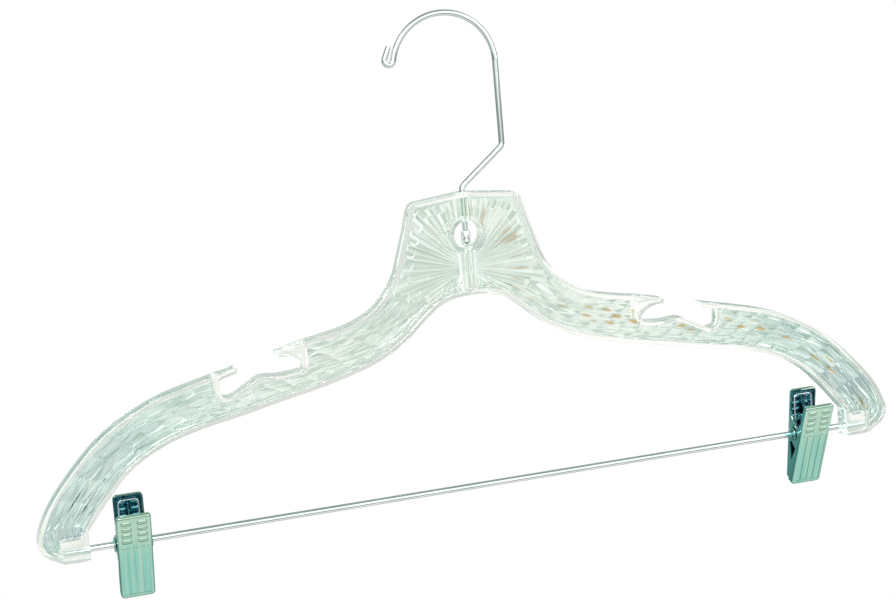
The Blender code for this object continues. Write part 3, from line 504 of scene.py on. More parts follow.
def weld(piece, distance=0.001):
    bm = bmesh.new()
    bm.from_mesh(piece.data)
    bmesh.ops.remove_doubles(bm, verts=bm.verts, dist=distance)
    bmesh.ops.dissolve_degenerate(bm, edges=bm.edges, dist=distance)
    bm.to_mesh(piece.data)
    bm.free()
    return piece


def traceCurve(name, paths, closed, **settings):
    data = bpy.data.curves.new(name, "CURVE")
    for key, value in settings.items():
        setattr(data, key, value)
    for path in paths:
        spline = data.splines.new("POLY")
        spline.points.add(len(path) - 1)
        for point, place in zip(spline.points, path):
            point.co = (*place.to_3d(), 1)
        spline.use_cyclic_u = closed
    return newObject(name, data)


def flatPlate(name, loops, thickness, edge):
    # a flat upright outline with a thickness and rounded edges; a second loop is a hole
    plate = traceCurve(
        name, loops, True, dimensions="2D", fill_mode="BOTH", extrude=thickness / 2 - edge,
        bevel_depth=edge, bevel_resolution=2, offset=-edge
    )
    plate.matrix_world = frontView
    return weld(bakeShape(plate))


def wireTube(name, points, radius, sides):
    tube = traceCurve(
        name, [points], False, dimensions="3D", bevel_depth=radius, bevel_resolution=sides,
        use_fill_caps=True
    )
    return weld(bakeShape(tube))


def cylinder(name, radius, low, high, turn):
    bm = bmesh.new()
    place = turn @ Matrix.Translation((0, 0, (low + high) / 2))
    bmesh.ops.create_cone(
        bm, cap_ends=True, segments=48, radius1=radius, radius2=radius, depth=high - low, matrix=place
    )
    tool = fromBmesh(name, bm)
    tool.data.shade_smooth()
    return tool


def turned(name, profile, turn, steps):
    # a closed profile of (radius, height) swept round
    bm = bmesh.new()
    verts = [bm.verts.new((radius, 0, height)) for radius, height in profile]
    for pair in nextOnes(verts):
        bm.edges.new(pair)
    piece = fromBmesh(name, bm)
    screw = piece.modifiers.new("turn", "SCREW")
    screw.steps = steps
    screw.render_steps = steps
    screw.use_merge_vertices = True
    screw.merge_threshold = 0.01
    screw.use_normal_calculate = True
    piece.matrix_world = turn
    return weld(bakeShape(piece))


def join(target, tool, operation):
    modifier = target.modifiers.new(operation.lower(), "BOOLEAN")
    modifier.operation = operation
    modifier.solver = "EXACT"
    modifier.object = tool
    result = bakeShape(target)
    bpy.data.objects.remove(tool, do_unlink=True)
    return result


def finishPiece(piece, name, material, body, node, sharpAngle=None):
    # puts a piece drawn in millimetres into the frame, on its body, in place of its node
    piece.data.transform(barFrame)
    piece.name = name
    piece.data.name = name
    if material:
        piece.data.materials.clear()
        piece.data.materials.append(material)
    if sharpAngle is not None:
        piece.data.shade_smooth()
        piece.data.set_sharp_from_angle(angle=math.radians(sharpAngle))
    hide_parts(node)
    if body:
        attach(piece, body)


# the clear moulding

moulding = {
    "halfLength": 215.0, "neckHeight": 143.5, "gableFall": 2.8, "neckHalfWidth": 27.0, "neckCorner": 5.0,
    "archHeight": 94.5, "throat": (60.5, 87.6), "armHeight": 82.6, "shoulderHeight": 73.2,
    "rimWidth": 9.8, "rimThickness": 2.2, "rimEdge": 0.45, "webThickness": 2.0,
    "notchStart": 84.6, "notchWidth": 40.7, "notchDepth": 12.6,
    "tongueThickness": 2.5, "innerTongue": 12.7, "outerTongue": 9.6,
    "footLength": 23.0, "aboveBar": 6.3, "belowBar": 4.5, "footNeck": 9.2, "endWall": 1.1, "flange": 3.6,
    "socketDepth": 11.9, "boreGap": 0.3, "barRadius": 1.5, "wireRadius": 1.4, "overrun": 2.0,
    "sleeveRadius": 4.1, "bossRadius": 4.3, "ringHeight": 123.3, "ringRadius": 9.1, "windowRadius": 6.9,
    "ringWidth": 8.4, "coreRadius": 1.4, "coreDepth": 12.0, "sharpAngle": 32.0,
}
neckSideShares = (
    (0.09, 0.211), (0.185, 0.40), (0.29, 0.597), (0.415, 0.729), (0.565, 0.838), (0.745, 0.925),
)
armTopShares = ((0.0, 0.0), (0.42, 0.5), (1.0, 1.0))
notchShares = (
    (0.0, 0.88), (0.025, 1.0), (0.082, 1.056), (0.305, 1.105), (0.5, 1.063), (0.65, 1.286),
    (0.833, 1.595), (0.907, 1.667), (0.976, 1.54), (1.0, 1.3),
)
innerTongueShares = (
    (1.0, 0.0), (1.01, 0.4), (0.97, 0.85), (0.9, 1.02), (0.55, 1.6), (0.24, 2.55), (0.07, 3.56),
)
outerTongueShares = (
    (1.0, 0.0), (1.02, 0.4), (0.96, 0.85), (0.85, 1.0), (0.3, 1.05), (0.1, 1.15), (0.02, 1.4),
)
shoulderShares = (
    (0.136, 0.962), (0.256, 0.925), (0.364, 0.88), (0.496, 0.803), (0.64, 0.69), (0.743, 0.574),
    (0.837, 0.45), (0.899, 0.358), (0.95, 0.262), (0.983, 0.175), (1.0, 0.1), (0.988, 0.04), (0.952, -0.01),
)
undersideShares = (
    (0.857, 0.2), (0.833, 0.262), (0.805, 0.33), (0.768, 0.395), (0.726, 0.447), (0.68, 0.487),
    (0.625, 0.519), (0.555, 0.548), (0.51, 0.568), (0.45, 0.597), (0.36, 0.637), (0.281, 0.682),
    (0.233, 0.72), (0.186, 0.772), (0.146, 0.834), (0.109, 0.908), (0.075, 0.966), (0.037, 0.994),
)
footInner = moulding["halfLength"] - moulding["footLength"]
notchEnd = moulding["notchStart"] + moulding["notchWidth"]
peak = Vector((0, moulding["neckHeight"]))
archTop = Vector((0, moulding["archHeight"]))
innerRoot = Vector((moulding["notchStart"], moulding["armHeight"]))
outerRoot = Vector((notchEnd, moulding["shoulderHeight"]))
notchFall = moulding["armHeight"] - moulding["shoulderHeight"]
notchTop = Vector((moulding["notchStart"], moulding["armHeight"] - notchFall / 2))
notchSlope = -math.atan2(notchFall, moulding["notchWidth"])


def neckToNotch(fine):
    m = moulding
    corner = Vector((m["neckHalfWidth"], m["neckHeight"] - m["gableFall"]))
    throat = Vector(m["throat"])
    span = throat - corner
    side = [corner + Vector((span.x * x, span.y * z)) for x, z in neckSideShares]
    rounded = roundCorner(peak, corner, side[0], m["neckCorner"], 4 + fine)
    reach = innerRoot - throat
    arm = [throat + Vector((reach.x * x, reach.y * z)) for x, z in armTopShares]
    return rounded[:-1] + smoothPoints([rounded[-1], *side, *arm], fine)


def notchPoints(fine):
    m = moulding
    points = []
    for x, z in notchShares:
        points.append(Vector((m["notchStart"] + m["notchWidth"] * x, m["armHeight"] - m["notchDepth"] * z)))
    return smoothPoints(points, fine)


def shoulderPoints(fine):
    m = moulding
    rest = m["halfLength"] - notchEnd
    points = [Vector((notchEnd + rest * x, m["shoulderHeight"] * z)) for x, z in shoulderShares]
    return smoothPoints([outerRoot, *points, Vector((footInner + m["socketDepth"], -m["belowBar"]))], fine)


def undersidePoints(fine):
    m = moulding
    points = [Vector((m["halfLength"] * x, m["archHeight"] * z)) for x, z in undersideShares]
    return smoothPoints([Vector((footInner, m["footNeck"])), *points], fine)


def tonguePoints(root, reach, shares):
    way = wayTo(notchSlope) * reach
    below = Vector((0, moulding["tongueThickness"]))
    return smoothPoints([root + way * x - below * z for x, z in shares], 2)


def outerOutline(fine):
    m = moulding
    inner = tonguePoints(innerRoot, m["innerTongue"], innerTongueShares)
    outer = tonguePoints(outerRoot, -m["outerTongue"], outerTongueShares)
    right = neckToNotch(fine) + inner + notchPoints(fine) + outer[::-1] + shoulderPoints(fine)
    right += [Vector((footInner, -m["belowBar"]))] + undersidePoints(fine)
    return [peak] + right + [archTop] + mirrored(right)


def rimOpening(fine):
    m = moulding
    thick = m["rimThickness"]
    top = growPath([peak] + neckToNotch(2) + [notchTop] + notchPoints(2) + shoulderPoints(2), thick)
    under = growPath(undersidePoints(2) + [archTop], thick)
    blockEnd = footInner + m["socketDepth"] + m["endWall"]
    outerRun = [point for point in top[1:] if point.x > blockEnd or point.y > m["aboveBar"]]
    innerRun = [point for point in under if point.x < footInner and point.y > m["aboveBar"]]
    right = smoothPoints(outerRun, fine)
    right += [
        Vector((blockEnd, thick - m["belowBar"])), Vector((blockEnd, m["aboveBar"])),
        Vector((footInner + m["flange"], m["aboveBar"])),
    ]
    right += smoothPoints(innerRun, fine)[:-1]
    return [Vector((0, top[0].y))] + right + [Vector((0, under[-1].y))] + mirrored(right)


# the web's facets: long lozenges in the arms and wedge-shaped rays in the neck

facets = {
    "columns": 21, "rows": 12, "footColumns": 3, "rise": 1.0, "backRise": 0.8, "neckShare": 0.5,
    "stray": 0.2, "fade": 0.6, "seed": 7,
    "rays": 60, "rayRise": 0.62, "hubHeight": 107.0, "longRay": 0.97, "shortRay": 0.85, "bluntEnd": 1.1,
    "seamLow": 20.25, "seamHigh": 45.9, "overlap": 2.2,
}
inset = moulding["rimThickness"] / 2
webHalf = moulding["webThickness"] / 2
# the lines midway through the rim, where the web ends
rimTop = growPath(neckToNotch(3) + shoulderPoints(3), inset)
rimUnder = growPath(undersidePoints(3) + [archTop], inset)


def facetedPlate(name, rows, rises):
    # a closed plate over a grid of (x, z) places, its faces raised at each place
    bm = bmesh.new()
    sheets = []
    for side, lifts in zip((-1, 1), rises):
        grid = []
        for places, heights in zip(rows, lifts):
            grid.append([bm.verts.new((p.x, side * (webHalf + h), p.y)) for p, h in zip(places, heights)])
        sheets.append(grid)
        for i in range(len(grid) - 1):
            for j in range(len(grid[i]) - 1):
                corners = [grid[i][j], grid[i + 1][j], grid[i + 1][j + 1], grid[i][j + 1]]
                if lifts[i][j] > lifts[i + 1][j]:
                    corners = corners[1:] + corners[:1]
                bm.faces.new(corners[:3])
                bm.faces.new((corners[0], corners[2], corners[3]))
    front, back = sheets
    last = len(front) - 1
    end = len(front[0]) - 1
    border = [(i, 0) for i in range(last)] + [(last, j) for j in range(end)]
    border += [(i, end) for i in range(last, 0, -1)] + [(0, j) for j in range(end, 0, -1)]
    for (i, j), (k, n) in nextOnes(border):
        bm.faces.new((front[i][j], front[k][n], back[k][n], back[i][j]))
    bmesh.ops.recalc_face_normals(bm, faces=bm.faces)
    return fromBmesh(name, bm)


def armFacets(side):
    # long lozenges in staggered rows along one arm
    f = facets
    m = moulding
    lowStart = f["seamLow"] - f["overlap"]
    highStart = f["seamHigh"] - f["overlap"]
    lowStop = footInner + m["rimThickness"]
    highStop = m["halfLength"] - m["rimThickness"]
    footLow = inset - m["belowBar"]
    rows = []
    frontRise = []
    backRise = []
    chance = random.Random(f["seed"] + side)
    for i in range(f["columns"] + f["footColumns"] + 1):
        t = min(i / f["columns"], 1)
        lowX = lowStart + (lowStop - lowStart) * t
        highX = highStart + (highStop - highStart) * t
        low = Vector((lowX, heightAt(rimUnder, min(lowX, footInner))))
        high = Vector((highX, heightAt(rimTop, highX)))
        fall = max(i - f["columns"], 0) / f["footColumns"]
        low.y += (footLow - low.y) * fall
        high = pointAt(rimTop, high.y + (footLow - high.y) * fall)
        grown = f["neckShare"] + (1 - f["neckShare"]) * t
        places = []
        lifts = []
        for j in range(f["rows"] + 1):
            loose = f["stray"] if 0 < i < f["columns"] and 0 < j < f["rows"] else 0
            share = (j + loose * chance.uniform(-1, 1)) / f["rows"]
            place = low + (high - low) * share
            along = (highStop - highStart) / f["columns"] * loose * chance.uniform(-1, 1)
            places.append(Vector(((place.x + along) * side, place.y)))
            lifts.append(grown * (1 - f["fade"] * chance.random()))
        rows.append(places)
        frontRise.append([f["rise"] * lift if (i + j) % 2 else 0 for j, lift in enumerate(lifts)])
        backRise.append([0 if (i + j) % 2 else f["backRise"] * lift for j, lift in enumerate(lifts)])
    return facetedPlate("armFacets", rows, (frontRise, backRise))


def rayEnd(border, start, angle):
    # how far a ray runs before it meets a closed border
    way = wayTo(angle)
    reaches = []
    for one, two in nextOnes(border):
        edge = two - one
        cross = way.x * edge.y - way.y * edge.x
        if abs(cross) < 1e-9:
            continue
        gap = one - start
        share = (gap.x * way.y - gap.y * way.x) / cross
        if -1e-6 <= share <= 1 + 1e-6:
            reaches.append((gap.x * edge.y - gap.y * edge.x) / cross)
    return min(reach for reach in reaches if reach > 0)


def sunburst():
    # wedge-shaped rays with blunt ends that stop short of the rim
    f = facets
    lowSeam = Vector((f["seamLow"], heightAt(rimUnder, f["seamLow"])))
    highSeam = Vector((f["seamHigh"], heightAt(rimTop, f["seamHigh"])))
    right = [point for point in rimTop if point.x < highSeam.x] + [highSeam, lowSeam]
    right += [point for point in rimUnder[:-1] if point.x < lowSeam.x]
    border = [Vector((0, moulding["neckHeight"] - inset))] + right + [rimUnder[-1]] + mirrored(right)
    hub = Vector((0, f["hubHeight"]))
    count = f["rays"]
    step = 2 * math.pi / count
    bm = bmesh.new()

    def mark(side, angle, reach, rise=0.0):
        place = hub + wayTo(angle) * reach
        return bm.verts.new((place.x, side * (webHalf + rise), place.y))

    rims = []
    for side, shift in ((-1, 0.0), (1, 0.5)):
        lengths = []
        for k in range(count):
            reach = min(rayEnd(border, hub, step * (k + share + shift)) for share in (0, 0.5, 1))
            lengths.append(reach * (f["longRay"] if k % 2 else f["shortRay"]) - inset)
        hubVert = mark(side, 0, 0)
        valleys = []
        edge = []
        for k in range(count):
            angle = step * (k + shift)
            valleys.append({reach: mark(side, angle, reach) for reach in (lengths[k - 1], lengths[k])})
            edge.append(mark(side, angle, rayEnd(border, hub, angle)))
        for k in range(count):
            after = (k + 1) % count
            own = lengths[k]
            top = mark(side, step * (k + 0.5 + shift), own - f["bluntEnd"], f["rayRise"])
            near = []
            far = []
            for valley, beside in ((valleys[k], lengths[k - 1]), (valleys[after], lengths[after])):
                near.append([valley[beside]] if beside < own else [])
                far.append([valley[beside]] if beside > own else [])
            one = valleys[k][own]
            two = valleys[after][own]
            bm.faces.new([hubVert, *near[0], one, top])
            bm.faces.new([hubVert, top, two, *near[1]])
            bm.faces.new([one, two, top])
            bm.faces.new([one, *far[0], edge[k], edge[after], *far[1], two])
        rims.append(edge)
    # the wall between the two faces, whose rays are half a step apart
    front, back = rims
    for k in range(count):
        after = (k + 1) % count
        bm.faces.new((front[k], front[after], back[k]))
        bm.faces.new((front[after], back[after], back[k]))
    bmesh.ops.recalc_face_normals(bm, faces=bm.faces)
    return fromBmesh("sunburst", bm)


def makeMoulding():
    m = moulding
    rim = flatPlate("rim", [outerOutline(4), rimOpening(2)], m["rimWidth"], m["rimEdge"])
    rim.data.shade_smooth()
    opening = growPath([innerRoot, notchTop, *notchPoints(2), outerRoot], inset)
    above = Vector((0, m["notchDepth"]))
    opening += [opening[-1] + above, opening[0] + above]
    web = sunburst()
    for side in (-1, 1):
        cut = [Vector((point.x * side, point.y)) for point in opening]
        arm = join(armFacets(side), flatPlate("notchCut", [cut], m["rimWidth"], 0.0), "DIFFERENCE")
        web = join(web, arm, "UNION")
    piece = join(rim, web, "UNION")
    ringTop = m["ringHeight"] + m["windowRadius"]
    ringLow = m["ringHeight"] - m["windowRadius"]
    ringPlace = Matrix.Translation((0, 0, m["ringHeight"])) @ frontView
    width = m["ringWidth"] / 2
    shankRadius = m["wireRadius"] + m["boreGap"]
    rounds = [
        ("sleeve", m["sleeveRadius"], ringTop, m["neckHeight"] - inset, upright, "UNION"),
        ("boss", m["bossRadius"], m["archHeight"] + inset, ringLow, upright, "UNION"),
        ("ring", m["ringRadius"], -width, width, ringPlace, "UNION"),
        ("window", m["windowRadius"], -m["rimWidth"], m["rimWidth"], ringPlace, "DIFFERENCE"),
        ("shankBore", shankRadius, m["ringHeight"], m["neckHeight"] + m["overrun"], upright, "DIFFERENCE"),
        ("core", m["coreRadius"], ringLow - m["coreDepth"], m["ringHeight"], upright, "DIFFERENCE"),
    ]
    for side in (-1, 1):
        ends = sorted((side * (footInner - m["overrun"]), side * (footInner + m["socketDepth"])))
        rounds.append(("socket", m["barRadius"] + m["boreGap"], *ends, alongBar, "DIFFERENCE"))
    for name, radius, low, high, turn, operation in rounds:
        piece = join(piece, cylinder(name, radius, low, high, turn), operation)
    weld(piece, 0.004)
    smooth = [face.use_smooth for face in piece.data.polygons]
    piece.data.set_sharp_from_angle(angle=math.radians(m["sharpAngle"]))
    piece.data.polygons.foreach_set("use_smooth", smooth)
    finishPiece(piece, "mouldedHanger", plasticMaterial, "frame", "hanger_body")


makeMoulding()
print("moulding is made")

# the trouser bar and the hook

bar = {"radius": 1.5, "halfLength": 203.6, "endRound": 0.5}


def makeBar():
    b = bar
    profile = [(0, b["halfLength"])]
    for k in range(5):
        angle = math.pi / 2 * k / 4
        reach = b["radius"] - b["endRound"] * (1 - math.sin(angle))
        profile.append((reach, b["halfLength"] - b["endRound"] * (1 - math.cos(angle))))
    profile += [(radius, -height) for radius, height in reversed(profile)]
    piece = turned("trouserBar", profile, alongBar, 32)
    finishPiece(piece, "trouserBar", wireMaterial, "frame", "trouser_bar", 35)


# the bends at the neck and the elbow are so many times the wire's radius
hook = {
    "wireRadius": 1.4, "bendRadius": 24.9, "crestOffset": 3.4, "crestHeight": 226.2, "elbowHeight": 163.2,
    "riseFromNeck": 2.2, "neckBend": 3, "elbowBend": 2.5, "mouthAngle": 11.0, "bendSteps": 64,
    "tipBend": 2.1, "tipAngle": 193.0, "tipReturn": 6.0, "tipSteps": 20,
    "headRadius": 2.3, "headLength": 8.6, "headFloat": 0.6, "endShare": 0.35, "collar": 0.9,
    "shoulder": ((0.92, 0.9), (1, 0.8)),
}
headLow = moulding["ringHeight"] - moulding["windowRadius"] + hook["headFloat"]


def hookPath():
    h = hook
    bend = h["bendRadius"]
    inner = bend - h["wireRadius"]
    centre = Vector((-h["crestOffset"], h["crestHeight"] - math.sqrt(inner ** 2 - h["crestOffset"] ** 2)))
    headTop = headLow + h["headLength"]
    neckExit = Vector((0, moulding["neckHeight"] + h["riseFromNeck"]))
    elbow = Vector((centre.x + bend, h["elbowHeight"]))
    endAngle = math.pi - math.radians(h["mouthAngle"])
    path = [Vector((0, headTop - h["headLength"] / 2)), Vector((0, (headTop + moulding["neckHeight"]) / 2))]
    path += roundCorner(path[0], neckExit, elbow, h["wireRadius"] * h["neckBend"], 10)
    start = centre + Vector((bend, 0))
    path += roundCorner(neckExit, elbow, start, h["wireRadius"] * h["elbowBend"], 10)
    for k in range(h["bendSteps"] + 1):
        path.append(centre + bend * wayTo(endAngle * k / h["bendSteps"]))
    way = Vector((-math.sin(endAngle), math.cos(endAngle)))
    out = Vector((way.y, -way.x))
    tipCentre = path[-1] + out * h["tipBend"]
    for k in range(1, h["tipSteps"] + 1):
        turn = math.radians(h["tipAngle"]) * k / h["tipSteps"]
        path.append(tipCentre + h["tipBend"] * (way * math.sin(turn) - out * math.cos(turn)))
    path.append(path[-1] + (way * math.cos(turn) + out * math.sin(turn)) * h["tipReturn"])
    return [Vector((point.x, 0, point.y)) for point in path]


def makeHook():
    h = hook
    radius = h["headRadius"]
    length = h["headLength"]
    endRise = length * h["endShare"]
    profile = [(0, headLow + length), (h["wireRadius"] * h["collar"], headLow + length)]
    profile += [(radius * wide, headLow + length * high) for wide, high in h["shoulder"]]
    for k in range(8):
        angle = math.pi / 2 * k / 8
        profile.append((radius * math.cos(angle), headLow + endRise * (1 - math.sin(angle))))
    head = turned("head", profile + [(0, headLow)], upright, 32)
    piece = weld(join(wireTube("hookWire", hookPath(), h["wireRadius"], 8), head, "UNION"), 0.004)
    finishPiece(piece, "hookWire", wireMaterial, "hook", "hook", 40)


makeBar()
makeHook()
print("bar and hook are made")

# the clips

clip = {
    "place": 172.0, "swing": 18.0, "halfWidth": 8.0, "innerHalfWidth": 7.0, "sheet": 0.7,
    "above": 20.5, "below": 28.5, "topOut": 10.6, "tipOut": 4.2, "cornerRadius": 1.1, "planRadius": 1.9,
    "lip": 2.2, "closing": 0.15, "earRadius": 4.4, "earHole": 2.6, "earSteps": 16,
    "earSweep": (81, 161), "earRows": (5.8, 11.6), "weave": 0.26, "cornerSteps": 5, "wallSteps": 6,
    "inside": 1, "sharpAngle": 38,
}
pills = {
    "rows": 4, "length": 4.9, "width": 2.3, "pitch": 3.5, "fallFromTop": 3.8, "column": 3.65, "height": 0.62,
    "crown": 2.4,
}
flutes = {
    "count": 4, "width": 3.1, "pitch": 3.4, "length": 29.2, "fromTip": 2.2, "height": 0.42, "crown": 2.4,
    "taper": 2.0,
}
# the side wall's free edge: heights and how far it lies below the lip's line, then down to the ear as
# (height on the plate, distance out, height), then the grip's shares
lipRows = ((16.0, 0.0), (12.5, 0.0), (9.6, 0.25))
aboveEar = [(7.6, 5.6, 7.2), (6.6, 3.9, 5.7), (6.1, 1.6, 4.8)]
gripWallShares = ((0.24, 0.12), (0.4, 0.45), (0.56, 0.8), (0.72, 1.0))
gripWallLeast = 0.35
# how far apart the sheet's rows are at the flutes' ends, on the pills, by the ears and along the flutes
rowSteps = {"fluteEnd": 0.12, "pills": 0.24, "ears": 0.45, "flutes": 0.9}
rowReach = {"fluteEnd": 0.8, "ears": 7.2}
fluteLow = flutes["fromTip"] - clip["below"]
fluteHigh = fluteLow + flutes["length"]


def plateOut(z):
    c = clip
    return c["tipOut"] + (c["topOut"] - c["tipOut"]) * (z + c["below"]) / (c["above"] + c["below"])


def wallEdge():
    c = clip
    points = [(c["above"], c["topOut"] - c["lip"], c["above"])]
    points += [(z, plateOut(z) - c["lip"] - deeper, z) for z, deeper in lipRows]
    points += aboveEar
    # the wall runs into the round ear without a step, so that no row of the sheet crosses the next
    steps = c["earSteps"]
    for k in range(steps + 1):
        angle = math.radians(c["earSweep"][0] - c["earSweep"][1] * k / steps)
        row = c["earRows"][0] - c["earRows"][1] * k / steps
        points.append((row, -c["earRadius"] * math.cos(angle), c["earRadius"] * math.sin(angle)))
    for below, depth in gripWallShares:
        z = -c["below"] * below
        share = gripWallLeast + (1 - gripWallLeast) * depth
        points.append((z, plateOut(z) - (plateOut(z) - c["closing"]) * share, z))
    return points + [(-c["below"], c["closing"], -c["below"])]


def edgeAt(points, z):
    for one, two in zip(points, points[1:]):
        if two[0] <= z <= one[0]:
            t = (one[0] - z) / (one[0] - two[0])
            return one[1] + (two[1] - one[1]) * t, one[2] + (two[2] - one[2]) * t
    return points[-1][1:]


def dome(mark, across, along):
    # how high a rounded mark stands at a distance from its middle
    away = math.hypot(across, along) / (mark["width"] / 2)
    return mark["height"] * (1 - away ** mark["crown"]) if away < 1 else 0.0


def raisedMarks(x, z, halfWidth):
    # how far the pressed pills and flutes stand out of the plate
    x /= halfWidth / clip["halfWidth"]
    lifts = []
    reach = max(abs(abs(x) - pills["column"]) - (pills["length"] - pills["width"]) / 2, 0)
    for row in range(pills["rows"]):
        dz = z - (clip["above"] - pills["fallFromTop"] - row * pills["pitch"])
        lifts.append(dome(pills, reach, dz))
    end = flutes["width"] / 2 / flutes["taper"]
    reach = max(fluteLow + end - z, z - (fluteHigh - end), 0)
    for k in range(flutes["count"]):
        dx = x - (k - (flutes["count"] - 1) / 2) * flutes["pitch"]
        lifts.append(dome(flutes, dx, reach * flutes["taper"]))
    return max(lifts)


def rowHeights(top, low):
    pillLow = clip["above"] - pills["fallFromTop"] - (pills["rows"] - 0.4) * pills["pitch"]
    end = rowReach["fluteEnd"]
    heights = [top]
    while heights[-1] > low:
        z = heights[-1]
        kind = "pills" if z > pillLow else "ears" if abs(z) < rowReach["ears"] else "flutes"
        if abs(z - fluteHigh + end / 2) < end or abs(z - fluteLow - end / 2) < end:
            kind = "fluteEnd"
        heights.append(z - rowSteps[kind])
    return heights[:-1] + [low]


def makeJaw(name, facing, halfWidth):
    # one stamped jaw as a folded sheet: a pan with rounded corners, deep walls and ears
    c = clip
    plan = c["planRadius"]
    bend = c["cornerRadius"]
    flatEnd = plan - bend
    # distances from the flat middle outward, as (plan distance, depth, share of the free wall)
    folds = [(flatEnd / 2, 0.0, 0.0), (flatEnd, 0.0, 0.0)]
    for k in range(1, c["cornerSteps"] + 1):
        angle = math.pi / 2 * k / c["cornerSteps"]
        folds.append((flatEnd + bend * math.sin(angle), bend * (1 - math.cos(angle)), 0.0))
    folds += [(plan, bend, k / c["wallSteps"]) for k in range(1, c["wallSteps"] + 1)]
    edge = wallEdge()
    flatX = halfWidth - plan
    topZ = c["above"] - plan
    lowZ = -c["below"] + plan
    columns = round(2 * flatX / c["weave"])
    outward = range(1, len(folds) + 1)
    across = [(-i, flatX) for i in reversed(outward)]
    across += [(0, -flatX + 2 * flatX * k / columns) for k in range(columns + 1)]
    across += [(i, flatX) for i in outward]
    along = [(i, topZ) for i in reversed(outward)]
    along += [(0, z) for z in rowHeights(topZ, lowZ)]
    along += [(-i, lowZ) for i in outward]

    def sheetPoint(foldX, baseX, foldZ, baseZ):
        sideX = abs(foldX)
        sideZ = abs(foldZ)
        most = max(sideX, sideZ)
        if most == 0:
            return baseX, plateOut(baseZ) + raisedMarks(baseX, baseZ, halfWidth), baseZ
        reach, depth, share = folds[most - 1]
        x = baseX
        z = baseZ
        if sideX and sideZ:
            turn = math.pi / 4 * (sideZ / most if sideX >= sideZ else 2 - sideX / most)
            x = math.copysign(flatX + reach * math.cos(turn), foldX)
            z += math.copysign(reach * math.sin(turn), foldZ)
        elif sideX:
            x = math.copysign(flatX + reach, foldX)
        else:
            z += math.copysign(reach, foldZ)
        out = plateOut(z)
        freeEdge = (out - c["lip"], z)
        if sideX:
            freeEdge = edgeAt(edge, z)
        elif foldZ < 0:
            freeEdge = (c["closing"], z)
        y = out - depth
        return x, y + (freeEdge[0] - y) * share, z + (freeEdge[1] - z) * share

    bm = bmesh.new()
    grid = []
    for foldZ, baseZ in along:
        line = []
        for foldX, baseX in across:
            x, y, z = sheetPoint(foldX, baseX, foldZ, baseZ)
            line.append(bm.verts.new((x, facing * y, z)))
        grid.append(line)
    for upper, lower in zip(grid, grid[1:]):
        for j in range(len(upper) - 1):
            bm.faces.new((upper[j], upper[j + 1], lower[j + 1], lower[j]))
    bmesh.ops.remove_doubles(bm, verts=bm.verts, dist=0.001)
    bmesh.ops.recalc_face_normals(bm, faces=bm.faces)
    middle = min(bm.faces, key=lambda face: face.calc_center_median().length)
    if middle.normal.y * facing < 0:
        bmesh.ops.reverse_faces(bm, faces=bm.faces)
    jaw = fromBmesh(name, bm)
    jaw.data.shade_smooth()
    sheet = jaw.modifiers.new("sheet", "SOLIDIFY")
    sheet.thickness = c["sheet"]
    sheet.offset = -1
    sheet.use_even_offset = True
    sheet.material_offset = c["inside"]
    for material in (steelMaterial, insideMaterial):
        jaw.data.materials.append(material)
    hole = cylinder("earHole", c["earHole"], -halfWidth - 2, halfWidth + 2, alongBar)
    hole.data.materials.append(steelMaterial)
    return join(bakeShape(jaw), hole, "DIFFERENCE")


eyelet = {"bore": 1.8, "radius": 2.3, "face": 8.3, "flare": 3.7, "end": 9.0}
# the tube's rolled edge from its side round to its bore, as (radius, more, height, more)
rolledEdge = (
    ("radius", 0, "face", -0.35), ("radius", 0.18, "face", -0.08), ("radius", 0.5, "face", 0),
    ("flare", -0.12, "face", 0), ("flare", 0, "face", 0.16), ("flare", -0.1, "face", 0.34),
    ("flare", -0.5, "end", -0.22), ("bore", 0.75, "end", -0.05), ("bore", 0.35, "end", 0),
    ("bore", 0, "end", -0.3),
)


def makeEyelet(word, side):
    outer = [(eyelet[ring] + wider, eyelet[level] + higher) for ring, wider, level, higher in rolledEdge]
    profile = outer + [(radius, -height) for radius, height in reversed(outer)]
    piece = turned("eyelet", profile, alongBar, 40)
    piece.data.transform(Matrix.Translation((side * clip["place"], 0, 0)))
    node = word + "_pivot_eyelet"
    finishPiece(piece, word + "Eyelet", steelMaterial, word + "_carriage", node, 35)


spring = {
    "wireRadius": 0.45, "turns": 2, "turnGap": 0.52, "sideGap": 1.2, "loopHeight": 17.5, "legHeight": 11.5,
    "corner": 1.8, "plateGap": 0.3, "pointsPerTurn": 28, "follow": 3.0,
}


